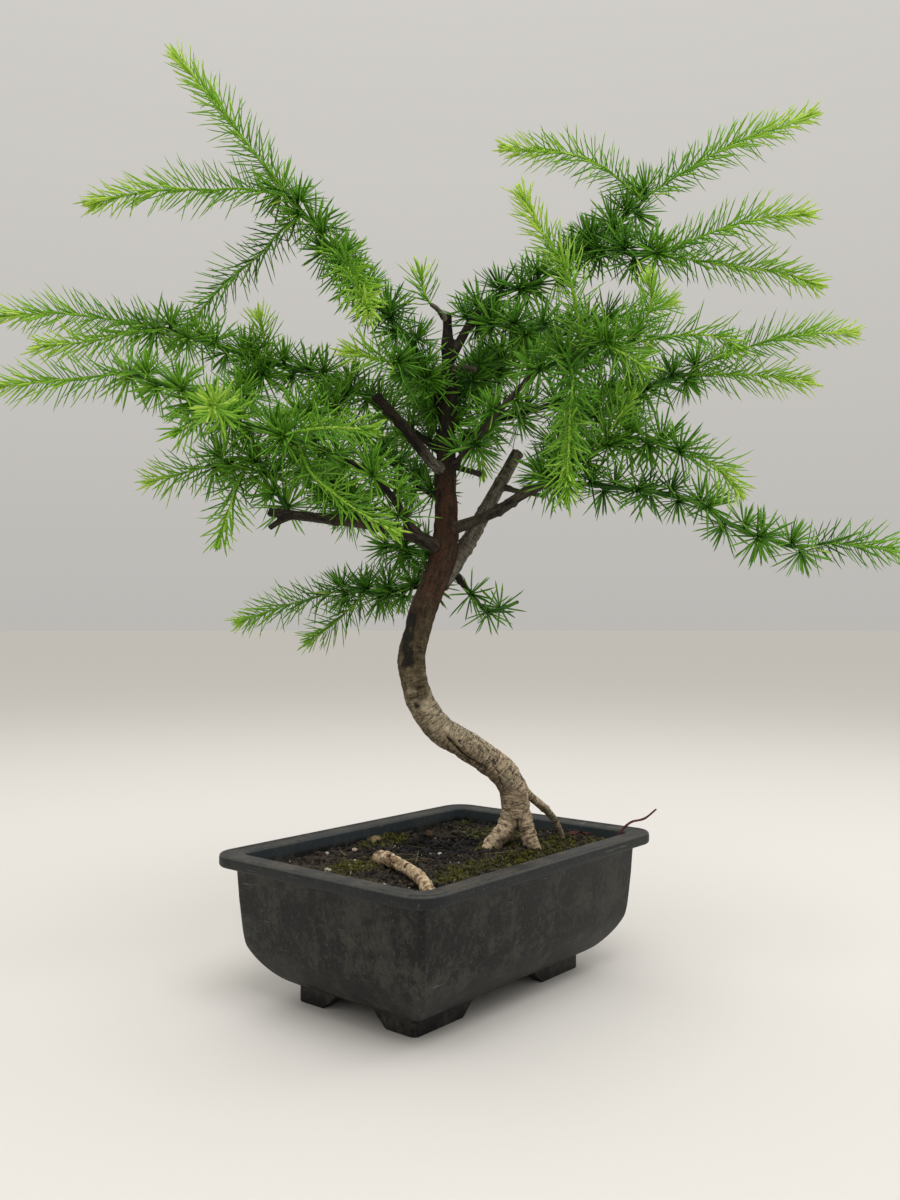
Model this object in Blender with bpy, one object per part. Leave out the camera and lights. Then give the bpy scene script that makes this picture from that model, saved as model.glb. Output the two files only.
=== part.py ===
# A larch bonsai with a bent trunk, planted in a rectangular plastic pot.
# World units are metres with +Z up, and the pot's long side runs along X. Pieces are shaped
# in millimetres from the middle of the pot's underside and scaled once, when they are finished.

import math
import random

import bmesh
import bpy
import numpy as np
from mathutils import Matrix, Vector, noise

MM = 0.001
GAP = 0.3

# Pot
POT_LENGTH = 230.0
POT_WIDTH = 168.0
POT_WALL = 2.5
CORNER_STEPS = 4
# Inset from the rim's outer edge, height, corner radius
BODY_PROFILE = [(36.5, 9.0, 4.0), (29.0, 13.6, 3.5), (22.0, 21.0, 3.0), (16.3, 30.0, 3.0),
                (14.0, 38.0, 3.0), (12.0, 60.0, 3.0), (11.0, 79.0, 3.0)]
RIM_PROFILE = [(1.4, 79.4, 14.6), (0.0, 80.8, 16.0), (0.0, 85.2, 16.0), (1.6, 86.7, 14.4),
               (12.3, 86.5, 7.0), (13.5, 85.2, 6.0)]
INNER_CORNER = 5.0
FLOOR_PROFILE = [(30.5, 14.8, 5.0), (38.0, 11.8, 5.0)]
FOOT_LENGTH = 158.0
FOOT_WIDTH = 92.0
FOOT_CORNER = 4.0
FOOT_WALL = 7.0
FOOT_TOP = 10.5
FOOT_GAP_LONG = 78.0
FOOT_GAP_SHORT = 50.0
FOOT_SLANT = 12.0
DRAIN_DIAMETER = 9.0
DRAIN_PLACES = [(-45.0, -18.0), (-45.0, 18.0), (45.0, -18.0), (45.0, 18.0)]

# Soil: it swells round the trunk and sinks to a basin beside it
SOIL_LEVEL = 76.4
SOIL_MOUND = 2.6
SOIL_MOUND_SPREAD = 34.0
BASIN_DEPTH = 3.6
BASIN_CENTRE = (26.0, 22.0)
BASIN_HALF = (44.0, 30.0)
SOIL_ROUGHNESS = 1.5
SOIL_LUMP = 26.0
SOIL_CLOD = 9.0
SOIL_GRID = (17, 12)
SOIL_EDGE_HEIGHT = 83.0

# Tree: measured from the trunk's foot at soil level as (right along the crown's broad side,
# away across it, up), and turned to the pot by CROWN_TURN
TRUNK_FOOT = (46.0, -20.0, 77.0)
CROWN_TURN = math.radians(-50.2)
TRUNK_SIDES = 10
TRUNK_STEP = 13.5
LIMB_SIDES = 6
LIMB_STEP = 13.5
TWIG_SIDES = 4
TWIG_BULK = 0.86

TRUNK = [(0, 0, 20), (-1, 0, 36), (-6, -1, 46), (-16, -3, 56), (-32, -6, 67), (-47, -8, 76),
         (-57, -9, 88), (-63, -9, 103), (-66, -7, 120), (-63, -4, 137), (-57, 0, 156),
         (-50, 3, 174), (-45, 4, 192), (-44, 3, 216), (-44, 1, 242), (-44, 0, 266),
         (-42, 1, 289), (-43, 2, 312), (-43, 2, 343)]
TRUNK_DIAMETERS = [19.5, 19, 18.5, 18.8, 18.5, 17.8, 17.2, 17.2, 17.8, 17.2, 17, 16.6, 14, 12.6,
                   11.6, 11, 9.2, 8, 5]

# Roots and cut limbs that belong to the trunk's wood: points, first and last diameter
LIMBS = {
    "left_leg": ([(-1, 0, 27), (-5, -2, 16), (-11, -4, 8.5), (-18, -6, 3.5), (-25, -8, -5)], 14.5, 9.5),
    "right_leg": ([(2, 0, 27), (4.2, -2, 17), (6.4, -3, 9), (9.6, -4, 1), (11.5, -4, -8)], 13, 9.5),
    "back_root": ([(3, 3, 41), (9, 9, 33), (16, 12, 27), (23, 17, 20), (28, 20, 13), (32, 22, 4),
                   (34, 23, -6)], 6.5, 3.6),
    "left_limb": ([(-47, 3, 190), (-57, -6, 196), (-76, -16, 202), (-94, -26, 205),
                   (-117, -36, 207), (-138, -42, 209), (-150, -46, 210)], 9, 5.5),
    "left_fork": ([(-136, -42, 209), (-143, -46, 205), (-149, -50, 200)], 4.5, 3.6),
    "front_stub": ([(-44, 1, 240), (-53, -9, 246), (-63, -16, 257), (-75, -22, 271),
                    (-88, -28, 284)], 7.5, 6),
    "short_stub": ([(-44, 1, 246), (-33, -9, 241), (-22, -14, 237)], 5, 3.6),
    "second_leader": ([(-49, 3, 168), (-36, 10, 187), (-25, 15, 205), (-15, 20, 224),
                       (-5, 24, 242), (4, 28, 258)], 12, 8),
    "leader_twig": ([(-9, 22, 234), (4, 17, 230), (21, 10, 226)], 4, 3),
    "right_limb": ([(-44, 3, 203), (-26, -9, 208), (-10, -17, 215), (3, -24, 223),
                    (17, -30, 229), (25, -33, 231)], 8, 5.5),
    "upper_left_limb": ([(-44, 1, 278), (-52, 0, 290), (-56, -2, 301), (-59, -4, 311)], 6.5, 4.6),
    "upper_right_limb": ([(-43, 2, 311), (-34, 4, 328), (-26, 7, 342), (-18, 9, 353)], 6.8, 5),
    "top_stub": ([(-43, 2, 337), (-49, -3, 344), (-54, -6, 347)], 4, 3),
    "right_stub": ([(-43, 2, 303), (-34, -4, 307), (-24, -9, 304)], 4.4, 3.4),
    "hub_limb": ([(-44, 1, 238), (-29, -12, 255), (-13, -24, 273), (1, -34, 287),
                  (10, -40, 296)], 5, 3.6),
    "low_right_limb": ([(-44, 5, 182), (-33, 16, 169), (-25, 24, 159), (-20, 28, 154)], 4.6, 3.6),
    "low_left_limb": ([(-50, 3, 173), (-61, 22, 169), (-74, 36, 166)], 5, 3.8),
    "left_high_limb": ([(-44, 1, 250), (-61, 10, 265), (-74, 16, 274), (-86, 19, 284)], 4.8, 3.6),
    "left_mid_limb": ([(-55, -5, 195), (-68, -16, 207), (-77, -27, 221), (-88, -34, 233),
                       (-104, -41, 243)], 5.4, 3.8),
    "right_back_limb": ([(-43, 2, 256), (-15, 20, 275), (12, 30, 286), (42, 34, 294)], 5, 3.8),
    "back_left_limb": ([(-45, 3, 221), (-56, 18, 230), (-65, 30, 237)], 4.6, 3.6),
}

# Old twigs with spurs: the limb or twig each grows from, and its points. One whose first point
# is its parent's last goes on from that end, and any other leaves the parent's side.
SPRAYS = {
    "upper_left": ("upper_left_limb", [(-59, -4, 311), (-67, -6, 324), (-78, -8, 336),
                   (-93, -10, 350), (-110, -12, 371), (-124, -14, 390), (-139, -16, 408),
                   (-148, -18, 417)]),
    "left_high": ("left_high_limb", [(-86, 19, 284), (-104, 22, 298), (-117, 22, 306),
                  (-137, 18, 309), (-159, 12, 314), (-173, 8, 317), (-194, 2, 323),
                  (-215, -4, 329), (-230, -8, 333)]),
    "left_mid": ("left_mid_limb", [(-104, -41, 243), (-125, -48, 250), (-142, -52, 254),
                 (-156, -53, 260), (-172, -52, 264), (-187, -50, 273), (-204, -47, 283),
                 (-221, -44, 290), (-236, -42, 295)]),
    "left_low": ("left_limb", [(-139, -42, 210), (-143, -44, 219), (-148, -44, 230),
                 (-155, -42, 238), (-166, -38, 243), (-179, -32, 243), (-192, -26, 240)]),
    "left_inner": ("left_limb", [(-104, -31, 206), (-111, -22, 220), (-119, -8, 232),
                   (-131, 8, 243), (-144, 22, 250)]),
    "low_left": ("low_left_limb", [(-74, 36, 166), (-89, 48, 165), (-107, 60, 166),
                 (-122, 70, 166)]),
    "low_right": ("low_right_limb", [(-20, 28, 154), (-13, 32, 152), (-5, 36, 154),
                  (4, 40, 158)]),
    "low_back": ("trunk", [(-46, 4, 183), (-52, 12, 187), (-61, 20, 191), (-75, 32, 194),
                 (-86, 42, 197)]),
    "back_left": ("back_left_limb", [(-65, 30, 237), (-76, 46, 248), (-87, 60, 263),
                  (-100, 72, 273), (-113, 82, 282)]),
    "centre_left": ("upper_left_limb", [(-56, -2, 301), (-64, -12, 300), (-71, -22, 302),
                    (-77, -30, 304)]),
    "front": ("upper_right_limb", [(-26, 7, 342), (-13, -6, 334), (2, -16, 328),
              (17, -24, 327)]),
    "upper_right": ("upper_right_limb", [(-18, 9, 353), (-3, 10, 360), (14, 10, 366),
                    (30, 12, 376), (47, 14, 390), (62, 16, 404), (79, 18, 416),
                    (90, 18, 427)]),
    "right_upper": ("upper_right", [(47, 14, 390), (62, 2, 385), (79, -10, 377),
                    (94, -18, 376)]),
    "hub": ("hub_limb", [(10, -40, 296), (23, -48, 300), (35, -56, 305), (46, -58, 308),
            (57, -60, 308), (69, -60, 309)]),
    "right_back": ("right_back_limb", [(42, 34, 294), (73, 34, 299), (99, 30, 305),
                   (118, 26, 310), (127, 24, 316)]),
    "right_lower": ("right_limb", [(20, -31, 230), (34, -34, 240), (49, -36, 249),
                    (65, -38, 256), (82, -40, 253), (98, -44, 245)]),
    "long_right": ("right_limb", [(25, -33, 231), (41, -30, 229), (60, -28, 227),
                   (75, -26, 226), (91, -24, 224), (107, -22, 220), (121, -20, 213),
                   (138, -18, 203), (155, -16, 197), (172, -14, 192), (183, -12, 192)]),
    "right_inner": ("right_limb", [(13, -28, 228), (22, -20, 242), (31, -8, 260),
                    (45, 2, 274), (62, 10, 284), (83, 16, 288)]),
    "centre_right": ("trunk", [(-42, 1, 294), (-22, 10, 305), (-5, 18, 317), (11, 24, 329),
                     (32, 28, 336), (52, 30, 344), (66, 32, 349)]),
    "back_left_away": ("trunk", [(-44, 0, 268), (-48, 36, 286), (-56, 72, 304),
                       (-64, 106, 319), (-69, 134, 331)]),
    "back_right_away": ("trunk", [(-43, 1, 284), (-31, 42, 305), (-16, 80, 323),
                        (0, 112, 339)]),
}

# This year's shoots, told the same way
SHOOTS = {
    "upper_left_tip": ("upper_left", [(-148, -18, 417), (-164, -20, 438), (-179, -23, 457),
                       (-194, -26, 475), (-209, -30, 492)]),
    "upper_left_side": ("upper_left", [(-143, -17, 412), (-169, -26, 413), (-189, -34, 409),
                        (-209, -42, 406), (-232, -50, 400), (-250, -58, 392)]),
    "upper_left_down": ("upper_left", [(-134, -15, 401), (-150, -6, 394), (-164, 2, 382),
                        (-184, 8, 368), (-202, 16, 354), (-215, 22, 340), (-226, 26, 330)]),
    "upper_left_front": ("upper_left", [(-117, -13, 381), (-105, -36, 362), (-96, -58, 341),
                         (-88, -80, 322)]),
    "left_high_tip": ("left_high", [(-230, -8, 333), (-247, -13, 334), (-263, -18, 335),
                      (-284, -24, 336), (-320, -34, 331)]),
    "left_high_side": ("left_high", [(-222, -6, 331), (-244, -22, 324), (-258, -32, 317),
                       (-274, -42, 312), (-285, -48, 309)]),
    "left_mid_tip": ("left_mid", [(-236, -42, 295), (-258, -50, 290), (-278, -58, 286),
                     (-306, -68, 280)]),
    "left_mid_front": ("left_mid", [(-172, -52, 264), (-173, -76, 264), (-171, -104, 263)]),
    "left_mid_right": ("left_mid", [(-144, -52, 255), (-125, -70, 255), (-108, -84, 254),
                       (-86, -100, 250)]),
    "left_mid_down": ("left_mid", [(-132, -50, 252), (-123, -64, 232), (-108, -74, 218),
                      (-92, -84, 206), (-75, -94, 196)]),
    "left_low_tip": ("left_low", [(-192, -26, 240), (-205, -24, 237), (-225, -22, 232)]),
    "left_low_down": ("left_low", [(-163, -39, 242), (-169, -50, 224), (-171, -60, 208),
                      (-174, -68, 193)]),
    "low_left_tip": ("low_left", [(-122, 70, 166), (-141, 78, 161), (-164, 86, 155),
                     (-192, 94, 145)]),
    "low_left_side": ("low_left", [(-100, 55, 165), (-113, 60, 152), (-124, 62, 142),
                      (-138, 64, 133)]),
    "centre_left_tip": ("centre_left", [(-77, -30, 304), (-87, -42, 304), (-99, -55, 304)]),
    "upper_right_tip": ("upper_right", [(90, 18, 427), (110, 20, 441), (129, 22, 453),
                        (148, 24, 464), (175, 28, 475), (201, 32, 486)]),
    "upper_right_side": ("upper_right", [(86, 18, 423), (63, 14, 441), (48, 10, 447),
                         (29, 4, 449), (-3, -4, 448)]),
    "right_upper_tip": ("right_upper", [(94, -18, 376), (110, -24, 382), (130, -30, 388),
                        (149, -36, 391), (171, -42, 391)]),
    "right_upper_low": ("right_upper", [(85, -14, 376), (116, -14, 372), (140, -18, 367),
                        (163, -24, 362), (181, -32, 352)]),
    "hub_up": ("hub", [(36, -56, 305), (31, -66, 333), (25, -70, 350), (16, -74, 362),
               (7, -78, 374), (0, -82, 385)]),
    "hub_hang": ("hub", [(28, -51, 302), (29, -72, 286), (26, -86, 264), (24, -98, 245),
                 (22, -108, 227), (21, -116, 214)]),
    "hub_tip": ("hub", [(69, -60, 309), (85, -66, 310), (98, -72, 310), (112, -80, 306),
                (118, -86, 300)]),
    "hub_tuft": ("hub", [(64, -60, 308), (74, -56, 324), (78, -52, 337), (77, -50, 348)]),
    "right_back_tip": ("right_back", [(127, 24, 316), (146, 20, 323), (168, 16, 329),
                       (193, 12, 333), (217, 8, 332)]),
    "right_back_low": ("right_back", [(116, 27, 309), (144, 14, 307), (165, 4, 303),
                       (184, -4, 298)]),
    "right_lower_tip": ("right_lower", [(98, -44, 245), (110, -50, 241), (119, -54, 234),
                        (126, -58, 223)]),
    "long_right_tip": ("long_right", [(183, -12, 192), (201, -10, 194), (221, -8, 193),
                       (252, -5, 188)]),
    "centre_right_tip": ("centre_right", [(66, 32, 349), (87, 38, 355), (108, 44, 362)]),
    "back_left_tip": ("back_left", [(-113, 82, 282), (-130, 92, 290), (-150, 100, 297)]),
    "back_left_away_tip": ("back_left_away", [(-69, 134, 331), (-75, 158, 342),
                           (-80, 182, 354)]),
    "back_right_away_tip": ("back_right_away", [(0, 112, 339), (16, 136, 353),
                            (32, 158, 366)]),
    "top_tuft": ("top_stub", [(-54, -6, 347), (-58, -8, 354), (-60, -9, 364)]),
}

# Root lying on the soil and dry twig standing in it, measured as the tree is: name, points,
# diameters, sides and the space between rings
LYING_ROOT = ("surface_root", [(-85, -37, 0.5), (-80, -47, 4), (-73, -61, 4.8), (-64, -80, 4.8),
              (-57, -101, 4.2), (-52, -121, 2), (-51, -128, 0)], [5.6, 6.8, 6.4, 6.2, 6.4, 6.4],
              8, 8.0)
STANDING_TWIG = ("dry_twig", [(58, 12, -9), (63, 11, 0), (68.7, 10, 8.8), (75, 10, 15),
                 (84, 10, 17.5), (91.5, 10, 23.3)], [1.8, 1.8, 1.7, 1.6, 1.5, 1.2], 5, 6.0)

# Twigs, spurs and needles
SPRAY_WIDTH = (3.4, 2.5)
SHOOT_WIDTH = (2.1, 1.3)
SPUR_STEP = 17.5
SPUR_START = 0.62
SPUR_BASE = 1.9
SPUR_HEIGHT = 1.6
SPUR_TAPER = 0.82
SPUR_TWIST = math.radians(31)
SPUR_SIDES = (0, 2, 1, 3)
SPUR_NEEDLE = 20.5
SPUR_TILTS = {"side": 66, "upper": 42, "top": 19}
SPUR_SPREAD = 0.45
SHOOT_STEP = 8.8
SHOOT_START = 0.55
SHOOT_COLLAR = 1.2
SHOOT_TWIST = math.radians(37)
SHOOT_NEEDLE = 19.0
SHOOT_TIP_NEEDLE = 12.0
SHOOT_TILTS = (60, 36)
BUD_TILT = 24
NEEDLE_CLEAR = 0.22
NEEDLE_TRIES = 14
NEEDLE_WANDER = (4.0, 2.2)
NEEDLE_SHRINK = 0.035
NEEDLE_FOOT = 0.62
SEED = 1129


def tree_point(place):
    right, away, up = place
    turned = Matrix.Rotation(CROWN_TURN, 3, "Z") @ Vector((right, away, up))
    return turned + Vector(TRUNK_FOOT)


def empty_scene():
    for thing in list(bpy.data.objects):
        bpy.data.objects.remove(thing, do_unlink=True)


def make_material(name, colour, roughness, metallic=0.0):
    material = bpy.data.materials.new(name)
    material.use_nodes = True
    shader = material.node_tree.nodes["Principled BSDF"]
    shader.inputs["Base Color"].default_value = (*colour, 1.0)
    shader.inputs["Roughness"].default_value = roughness
    shader.inputs["Metallic"].default_value = metallic
    return material


def finish_object(name, bm, material, holder, collection=None):
    bmesh.ops.triangulate(bm, faces=list(bm.faces))
    bmesh.ops.transform(bm, matrix=Matrix.Scale(MM, 4), verts=list(bm.verts))
    mesh = bpy.data.meshes.new(name)
    bm.to_mesh(mesh)
    bm.free()
    thing = bpy.data.objects.new(name, mesh)
    (collection or bpy.context.scene.collection).objects.link(thing)
    thing.parent = holder
    if material:
        mesh.materials.append(material)
    return thing


def make_cutter(thing):
    thing.hide_render = True
    thing.display_type = "WIRE"
    return thing


# One closed body through a list of rings with the same number of points. It returns the
# faces along each length between two rings, and the far end's face.
def loft(bm, rings):
    count = len(rings[0])
    cone = bmesh.ops.create_cone(bm, cap_ends=True, segments=count, radius1=1, radius2=1, depth=2)
    walls = [face for face in bm.faces if len(face.verts) == 4 and is_upright(face)]
    top = next(face for face in bm.faces if face.normal.z > 0.9)
    for vert in cone["verts"]:
        step = round(math.atan2(vert.co.y, vert.co.x) / math.tau * count) % count
        vert.co = rings[0][step] if vert.co.z < 0 else rings[1][step]
    lengths = [walls]
    for before, after in zip(rings[1:], rings[2:]):
        top, walls = extrude_to(bm, top, before, after)
        lengths.append(walls)
    return lengths, top


def is_upright(face):
    return abs(face.normal.z) < 0.5


def extrude_to(bm, face, before, after):
    top = bmesh.ops.extrude_discrete_faces(bm, faces=[face])["faces"][0]
    for vert in top.verts:
        nearest = min(range(len(before)), key=lambda i: (before[i] - vert.co).length_squared)
        vert.co = after[nearest]
    walls = [other for edge in top.edges for other in edge.link_faces if other is not top]
    return top, walls


# Pot
def rounded_outline(length, width, corner, height):
    half_x = length / 2 - corner
    half_y = width / 2 - corner
    points = []
    for quarter, (sx, sy) in enumerate([(1, 1), (-1, 1), (-1, -1), (1, -1)]):
        for step in range(CORNER_STEPS + 1):
            angle = (quarter + step / CORNER_STEPS) * math.pi / 2
            points.append(Vector((sx * half_x + corner * math.cos(angle),
                                  sy * half_y + corner * math.sin(angle), height)))
    return points


def pot_outline(inset, height, corner):
    return rounded_outline(POT_LENGTH - 2 * inset, POT_WIDTH - 2 * inset, corner, height)


def inner_profile():
    walls = [(inset + POT_WALL, height, INNER_CORNER)
             for inset, height, corner in reversed(BODY_PROFILE[2:-1])]
    return walls + FLOOR_PROFILE


def block(bm, centre, size):
    box = bmesh.ops.create_cube(bm, size=1.0)
    bmesh.ops.scale(bm, vec=Vector(size), verts=box["verts"])
    bmesh.ops.translate(bm, vec=Vector(centre), verts=box["verts"])
    return box["verts"]


def make_feet(holder):
    bm = bmesh.new()
    loft(bm, [rounded_outline(FOOT_LENGTH, FOOT_WIDTH, FOOT_CORNER, 0.0),
              rounded_outline(FOOT_LENGTH, FOOT_WIDTH, FOOT_CORNER, FOOT_TOP)])
    feet = make_cutter(finish_object("feet_frame", bm, None, holder))
    middle = bmesh.new()
    block(middle, (0, 0, 0), (FOOT_LENGTH - 2 * FOOT_WALL, FOOT_WIDTH - 2 * FOOT_WALL, 40.0))
    notches = [make_cutter(finish_object("feet_middle", middle, None, holder))]
    notches.append(foot_notch("foot_notch_long", FOOT_GAP_LONG, POT_WIDTH, False, holder))
    notches.append(foot_notch("foot_notch_short", FOOT_GAP_SHORT, POT_LENGTH, True, holder))
    for notch in notches:
        add_boolean(feet, "DIFFERENCE", notch)
    return feet


def foot_notch(name, width, reach, across, holder):
    bm = bmesh.new()
    verts = block(bm, (0, 0, 0), (width, reach, 2 * FOOT_TOP + 20))
    for vert in verts:
        lean = FOOT_SLANT * vert.co.z / FOOT_TOP
        vert.co.x -= lean * math.copysign(1.0, vert.co.x)
    if across:
        bmesh.ops.rotate(bm, verts=verts, cent=Vector(), matrix=Matrix.Rotation(math.pi / 2, 3, "Z"))
    return make_cutter(finish_object(name, bm, None, holder))


def add_boolean(thing, operation, other):
    modifier = thing.modifiers.new(other.name, "BOOLEAN")
    modifier.operation = operation
    modifier.object = other


def make_drains(holder):
    drains = []
    for x, y in DRAIN_PLACES:
        bm = bmesh.new()
        bmesh.ops.create_cone(bm, cap_ends=True, segments=10, radius1=DRAIN_DIAMETER / 2,
                              radius2=DRAIN_DIAMETER / 2, depth=20.0)
        bmesh.ops.translate(bm, vec=Vector((x, y, FOOT_TOP)), verts=list(bm.verts))
        drains.append(make_cutter(finish_object("drain", bm, None, holder)))
    return drains


def make_pot(holder):
    bm = bmesh.new()
    loft(bm, [pot_outline(*level) for level in BODY_PROFILE + RIM_PROFILE + inner_profile()])
    plastic = make_material("charcoal_plastic", (0.045, 0.045, 0.042), 0.6)
    pot = finish_object("pot", bm, plastic, holder)
    add_boolean(pot, "UNION", make_feet(holder))
    for drain in make_drains(holder):
        add_boolean(pot, "DIFFERENCE", drain)
    return pot


# Soil, cut by the roots that stand in it
def soil_height(x, y):
    from_trunk = math.hypot(x - TRUNK_FOOT[0], y - TRUNK_FOOT[1])
    mound = SOIL_MOUND * math.exp(-(from_trunk / SOIL_MOUND_SPREAD) ** 2)
    off_basin = math.hypot((x - BASIN_CENTRE[0]) / BASIN_HALF[0], (y - BASIN_CENTRE[1]) / BASIN_HALF[1])
    basin = BASIN_DEPTH * math.exp(-off_basin ** 4)
    place = Vector((x, y, 0.0))
    rough = noise.noise(place / SOIL_LUMP) + 0.5 * noise.noise(place / SOIL_CLOD)
    return SOIL_LEVEL + mound - basin + SOIL_ROUGHNESS * rough


def make_air(holder):
    bm = bmesh.new()
    columns, rows = SOIL_GRID
    bmesh.ops.create_grid(bm, x_segments=columns, y_segments=rows, size=0.5)
    bmesh.ops.scale(bm, vec=Vector((POT_LENGTH, POT_WIDTH, 1)), verts=list(bm.verts))
    lifted = bmesh.ops.extrude_face_region(bm, geom=list(bm.faces))["geom"]
    lifted = [item for item in lifted if isinstance(item, bmesh.types.BMVert)]
    for vert in bm.verts:
        vert.co.z = soil_height(vert.co.x, vert.co.y)
    for vert in lifted:
        vert.co.z = 2 * SOIL_LEVEL
    bmesh.ops.recalc_face_normals(bm, faces=list(bm.faces))
    return make_cutter(finish_object("air_over_soil", bm, None, holder))


def make_soil(holder):
    bm = bmesh.new()
    levels = [(inset + 1.5 * GAP, height + 1.2 * GAP, corner)
              for inset, height, corner in reversed(inner_profile())]
    levels.append((RIM_PROFILE[-1][0] + 1.5 * GAP, SOIL_EDGE_HEIGHT, RIM_PROFILE[-1][2]))
    loft(bm, [pot_outline(*level) for level in levels])
    soil = finish_object("soil", bm, make_material("potting_soil", (0.03, 0.023, 0.016), 0.95),
                         holder)
    add_boolean(soil, "DIFFERENCE", make_air(holder))
    for name in ("left_leg", "right_leg", "back_root"):
        points, first, last = LIMBS[name]
        stem = make_stem(name, points, (first, last), LIMB_SIDES)
        add_boolean(soil, "DIFFERENCE", make_hole(stem, LIMB_STEP, holder))
    for name, points, widths, sides, step in (LYING_ROOT, STANDING_TWIG):
        stem = make_stem(name, points, widths, sides)
        add_boolean(soil, "DIFFERENCE", make_hole(stem, step, holder))
    return soil


# A hole has its root's own rings, wider by the gap, and its end faces lie a gap further out
def make_hole(stem, step, holder):
    bm = bmesh.new()
    wide = dict(stem, widths=[width + 2.4 * GAP for width in stem["widths"]])
    rings = tube_rings(wide, stem_stations(wide, step))
    line = stem["line"]
    for ring, outward in ((rings[0], line[0] - line[1]), (rings[-1], line[-1] - line[-2])):
        for point in ring:
            point += outward.normalized() * GAP
    loft(bm, rings)
    return make_cutter(finish_object(stem["name"] + "_hole", bm, None, holder))


# Stems are smooth curves through hand-placed points
def smooth_line(points, step=0.5):
    points = [points[0] * 2 - points[1]] + points + [points[-1] * 2 - points[-2]]
    line = []
    for p0, p1, p2, p3 in zip(points, points[1:], points[2:], points[3:]):
        count = max(2, math.ceil((p2 - p1).length / step))
        for i in range(count):
            line.append(curve_point(p0, p1, p2, p3, i / count))
    line.append(points[-2])
    return line


def curve_point(p0, p1, p2, p3, t):
    return 0.5 * (2 * p1 + (p2 - p0) * t + (2 * p0 - 5 * p1 + 4 * p2 - p3) * t ** 2
                  + (3 * p1 - p0 - 3 * p2 + p3) * t ** 3)


def make_stem(name, points, widths, sides):
    line = smooth_line([tree_point(point) for point in points])
    return {"name": name, "line": line, "widths": list(widths), "sides": sides}


def line_lengths(line):
    total = [0.0]
    for a, b in zip(line, line[1:]):
        total.append(total[-1] + (b - a).length)
    return total


def point_at(line, lengths, along):
    i = int(np.searchsorted(lengths, along, side="right")) - 1
    i = min(max(i, 0), len(line) - 2)
    part = (along - lengths[i]) / (lengths[i + 1] - lengths[i])
    return line[i].lerp(line[i + 1], part)


def width_at(widths, part):
    place = min(max(part, 0.0), 1.0) * (len(widths) - 1)
    i = min(int(place), len(widths) - 2)
    return widths[i] + (widths[i + 1] - widths[i]) * (place - i)


def stem_stations(stem, step):
    length = line_lengths(stem["line"])[-1]
    count = max(1, round(length / step))
    return [(length * i / count, 0.0) for i in range(count + 1)]


# Rings square to a stem at stations given as (distance along, twist), turned as little as possible
def tube_rings(stem, stations):
    line = stem["line"]
    lengths = line_lengths(line)
    total = lengths[-1]
    sides = stem["sides"]
    side = None
    rings = []
    for along, twist in stations:
        middle = point_at(line, lengths, along)
        ahead = point_at(line, lengths, min(total, along + 0.8))
        behind = point_at(line, lengths, max(0.0, along - 0.8))
        forward = (ahead - behind).normalized()
        side = (side or forward.orthogonal())
        side = (side - forward * side.dot(forward)).normalized()
        radius = width_at(stem["widths"], along / total) / 2
        rings.append([middle + radius * turned(side, forward, twist + math.tau * i / sides)
                      for i in range(sides)])
    return rings


def turned(side, forward, angle):
    return side * math.cos(angle) + forward.cross(side) * math.sin(angle)


# Trunk, roots and limbs grow as one piece of wood
def make_wood(holder, stems):
    bark = make_material("larch_bark", (0.16, 0.11, 0.075), 0.85)
    bm = bmesh.new()
    trunk = stems["trunk"]
    loft(bm, tube_rings(trunk, stem_stations(trunk, TRUNK_STEP)))
    wood = finish_object("wood", bm, bark, holder)
    limbs = bpy.data.collections.new("limbs")
    for name in LIMBS:
        bm = bmesh.new()
        loft(bm, tube_rings(stems[name], stem_stations(stems[name], LIMB_STEP)))
        finish_object(name + "_limb", bm, None, holder, limbs)
    join_collection(wood, limbs)
    return wood


def join_collection(thing, collection):
    modifier = thing.modifiers.new("join", "BOOLEAN")
    modifier.operation = "UNION"
    modifier.operand_type = "COLLECTION"
    modifier.collection = collection
    depsgraph = bpy.context.evaluated_depsgraph_get()
    joined = bpy.data.meshes.new_from_object(thing.evaluated_get(depsgraph))
    thing.modifiers.clear()
    thing.data = joined
    for part in list(collection.objects):
        bpy.data.objects.remove(part, do_unlink=True)
    bpy.data.collections.remove(collection)


# A record of every stem and needle as tapering round bars, to keep them clear of each other
class Thicket:
    def __init__(self, size=12000):
        self.first = np.zeros((size, 3))
        self.last = np.zeros((size, 3))
        self.first_radius = np.zeros(size)
        self.last_radius = np.zeros(size)
        self.owner = np.zeros(size, dtype=int)
        self.count = 0

    def add(self, first, last, first_radius, last_radius, owner):
        i = self.count
        self.first[i] = first
        self.last[i] = last
        self.first_radius[i] = first_radius
        self.last_radius[i] = last_radius
        self.owner[i] = owner
        self.count += 1

    # Smallest space round a bar. Bars of the owners in `kin` are met only past its first third,
    # and those of `host` aren't met.
    def space(self, first, last, radius, kin, host=-1):
        n = self.count
        start = np.tile(np.array(first), (n, 1))
        reach = np.array(last) - np.array(first)
        near = np.isin(self.owner[:n], kin)
        start[near] += reach * 0.34
        other = self.first[:n].copy()
        level = self.owner[:n] == kin[-1]
        other[level] += 0.34 * (self.last[:n] - self.first[:n])[level]
        ray = np.array(last) - start
        other_ray = self.last[:n] - other
        s, t = nearest_parts(start, ray, other, other_ray)
        apart = np.linalg.norm(start + ray * s[:, None] - other - other_ray * t[:, None], axis=1)
        own = radius * (1 - s)
        wide = self.first_radius[:n] + (self.last_radius - self.first_radius)[:n] * t
        return float(np.min((apart - own - wide)[self.owner[:n] != host]))


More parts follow.
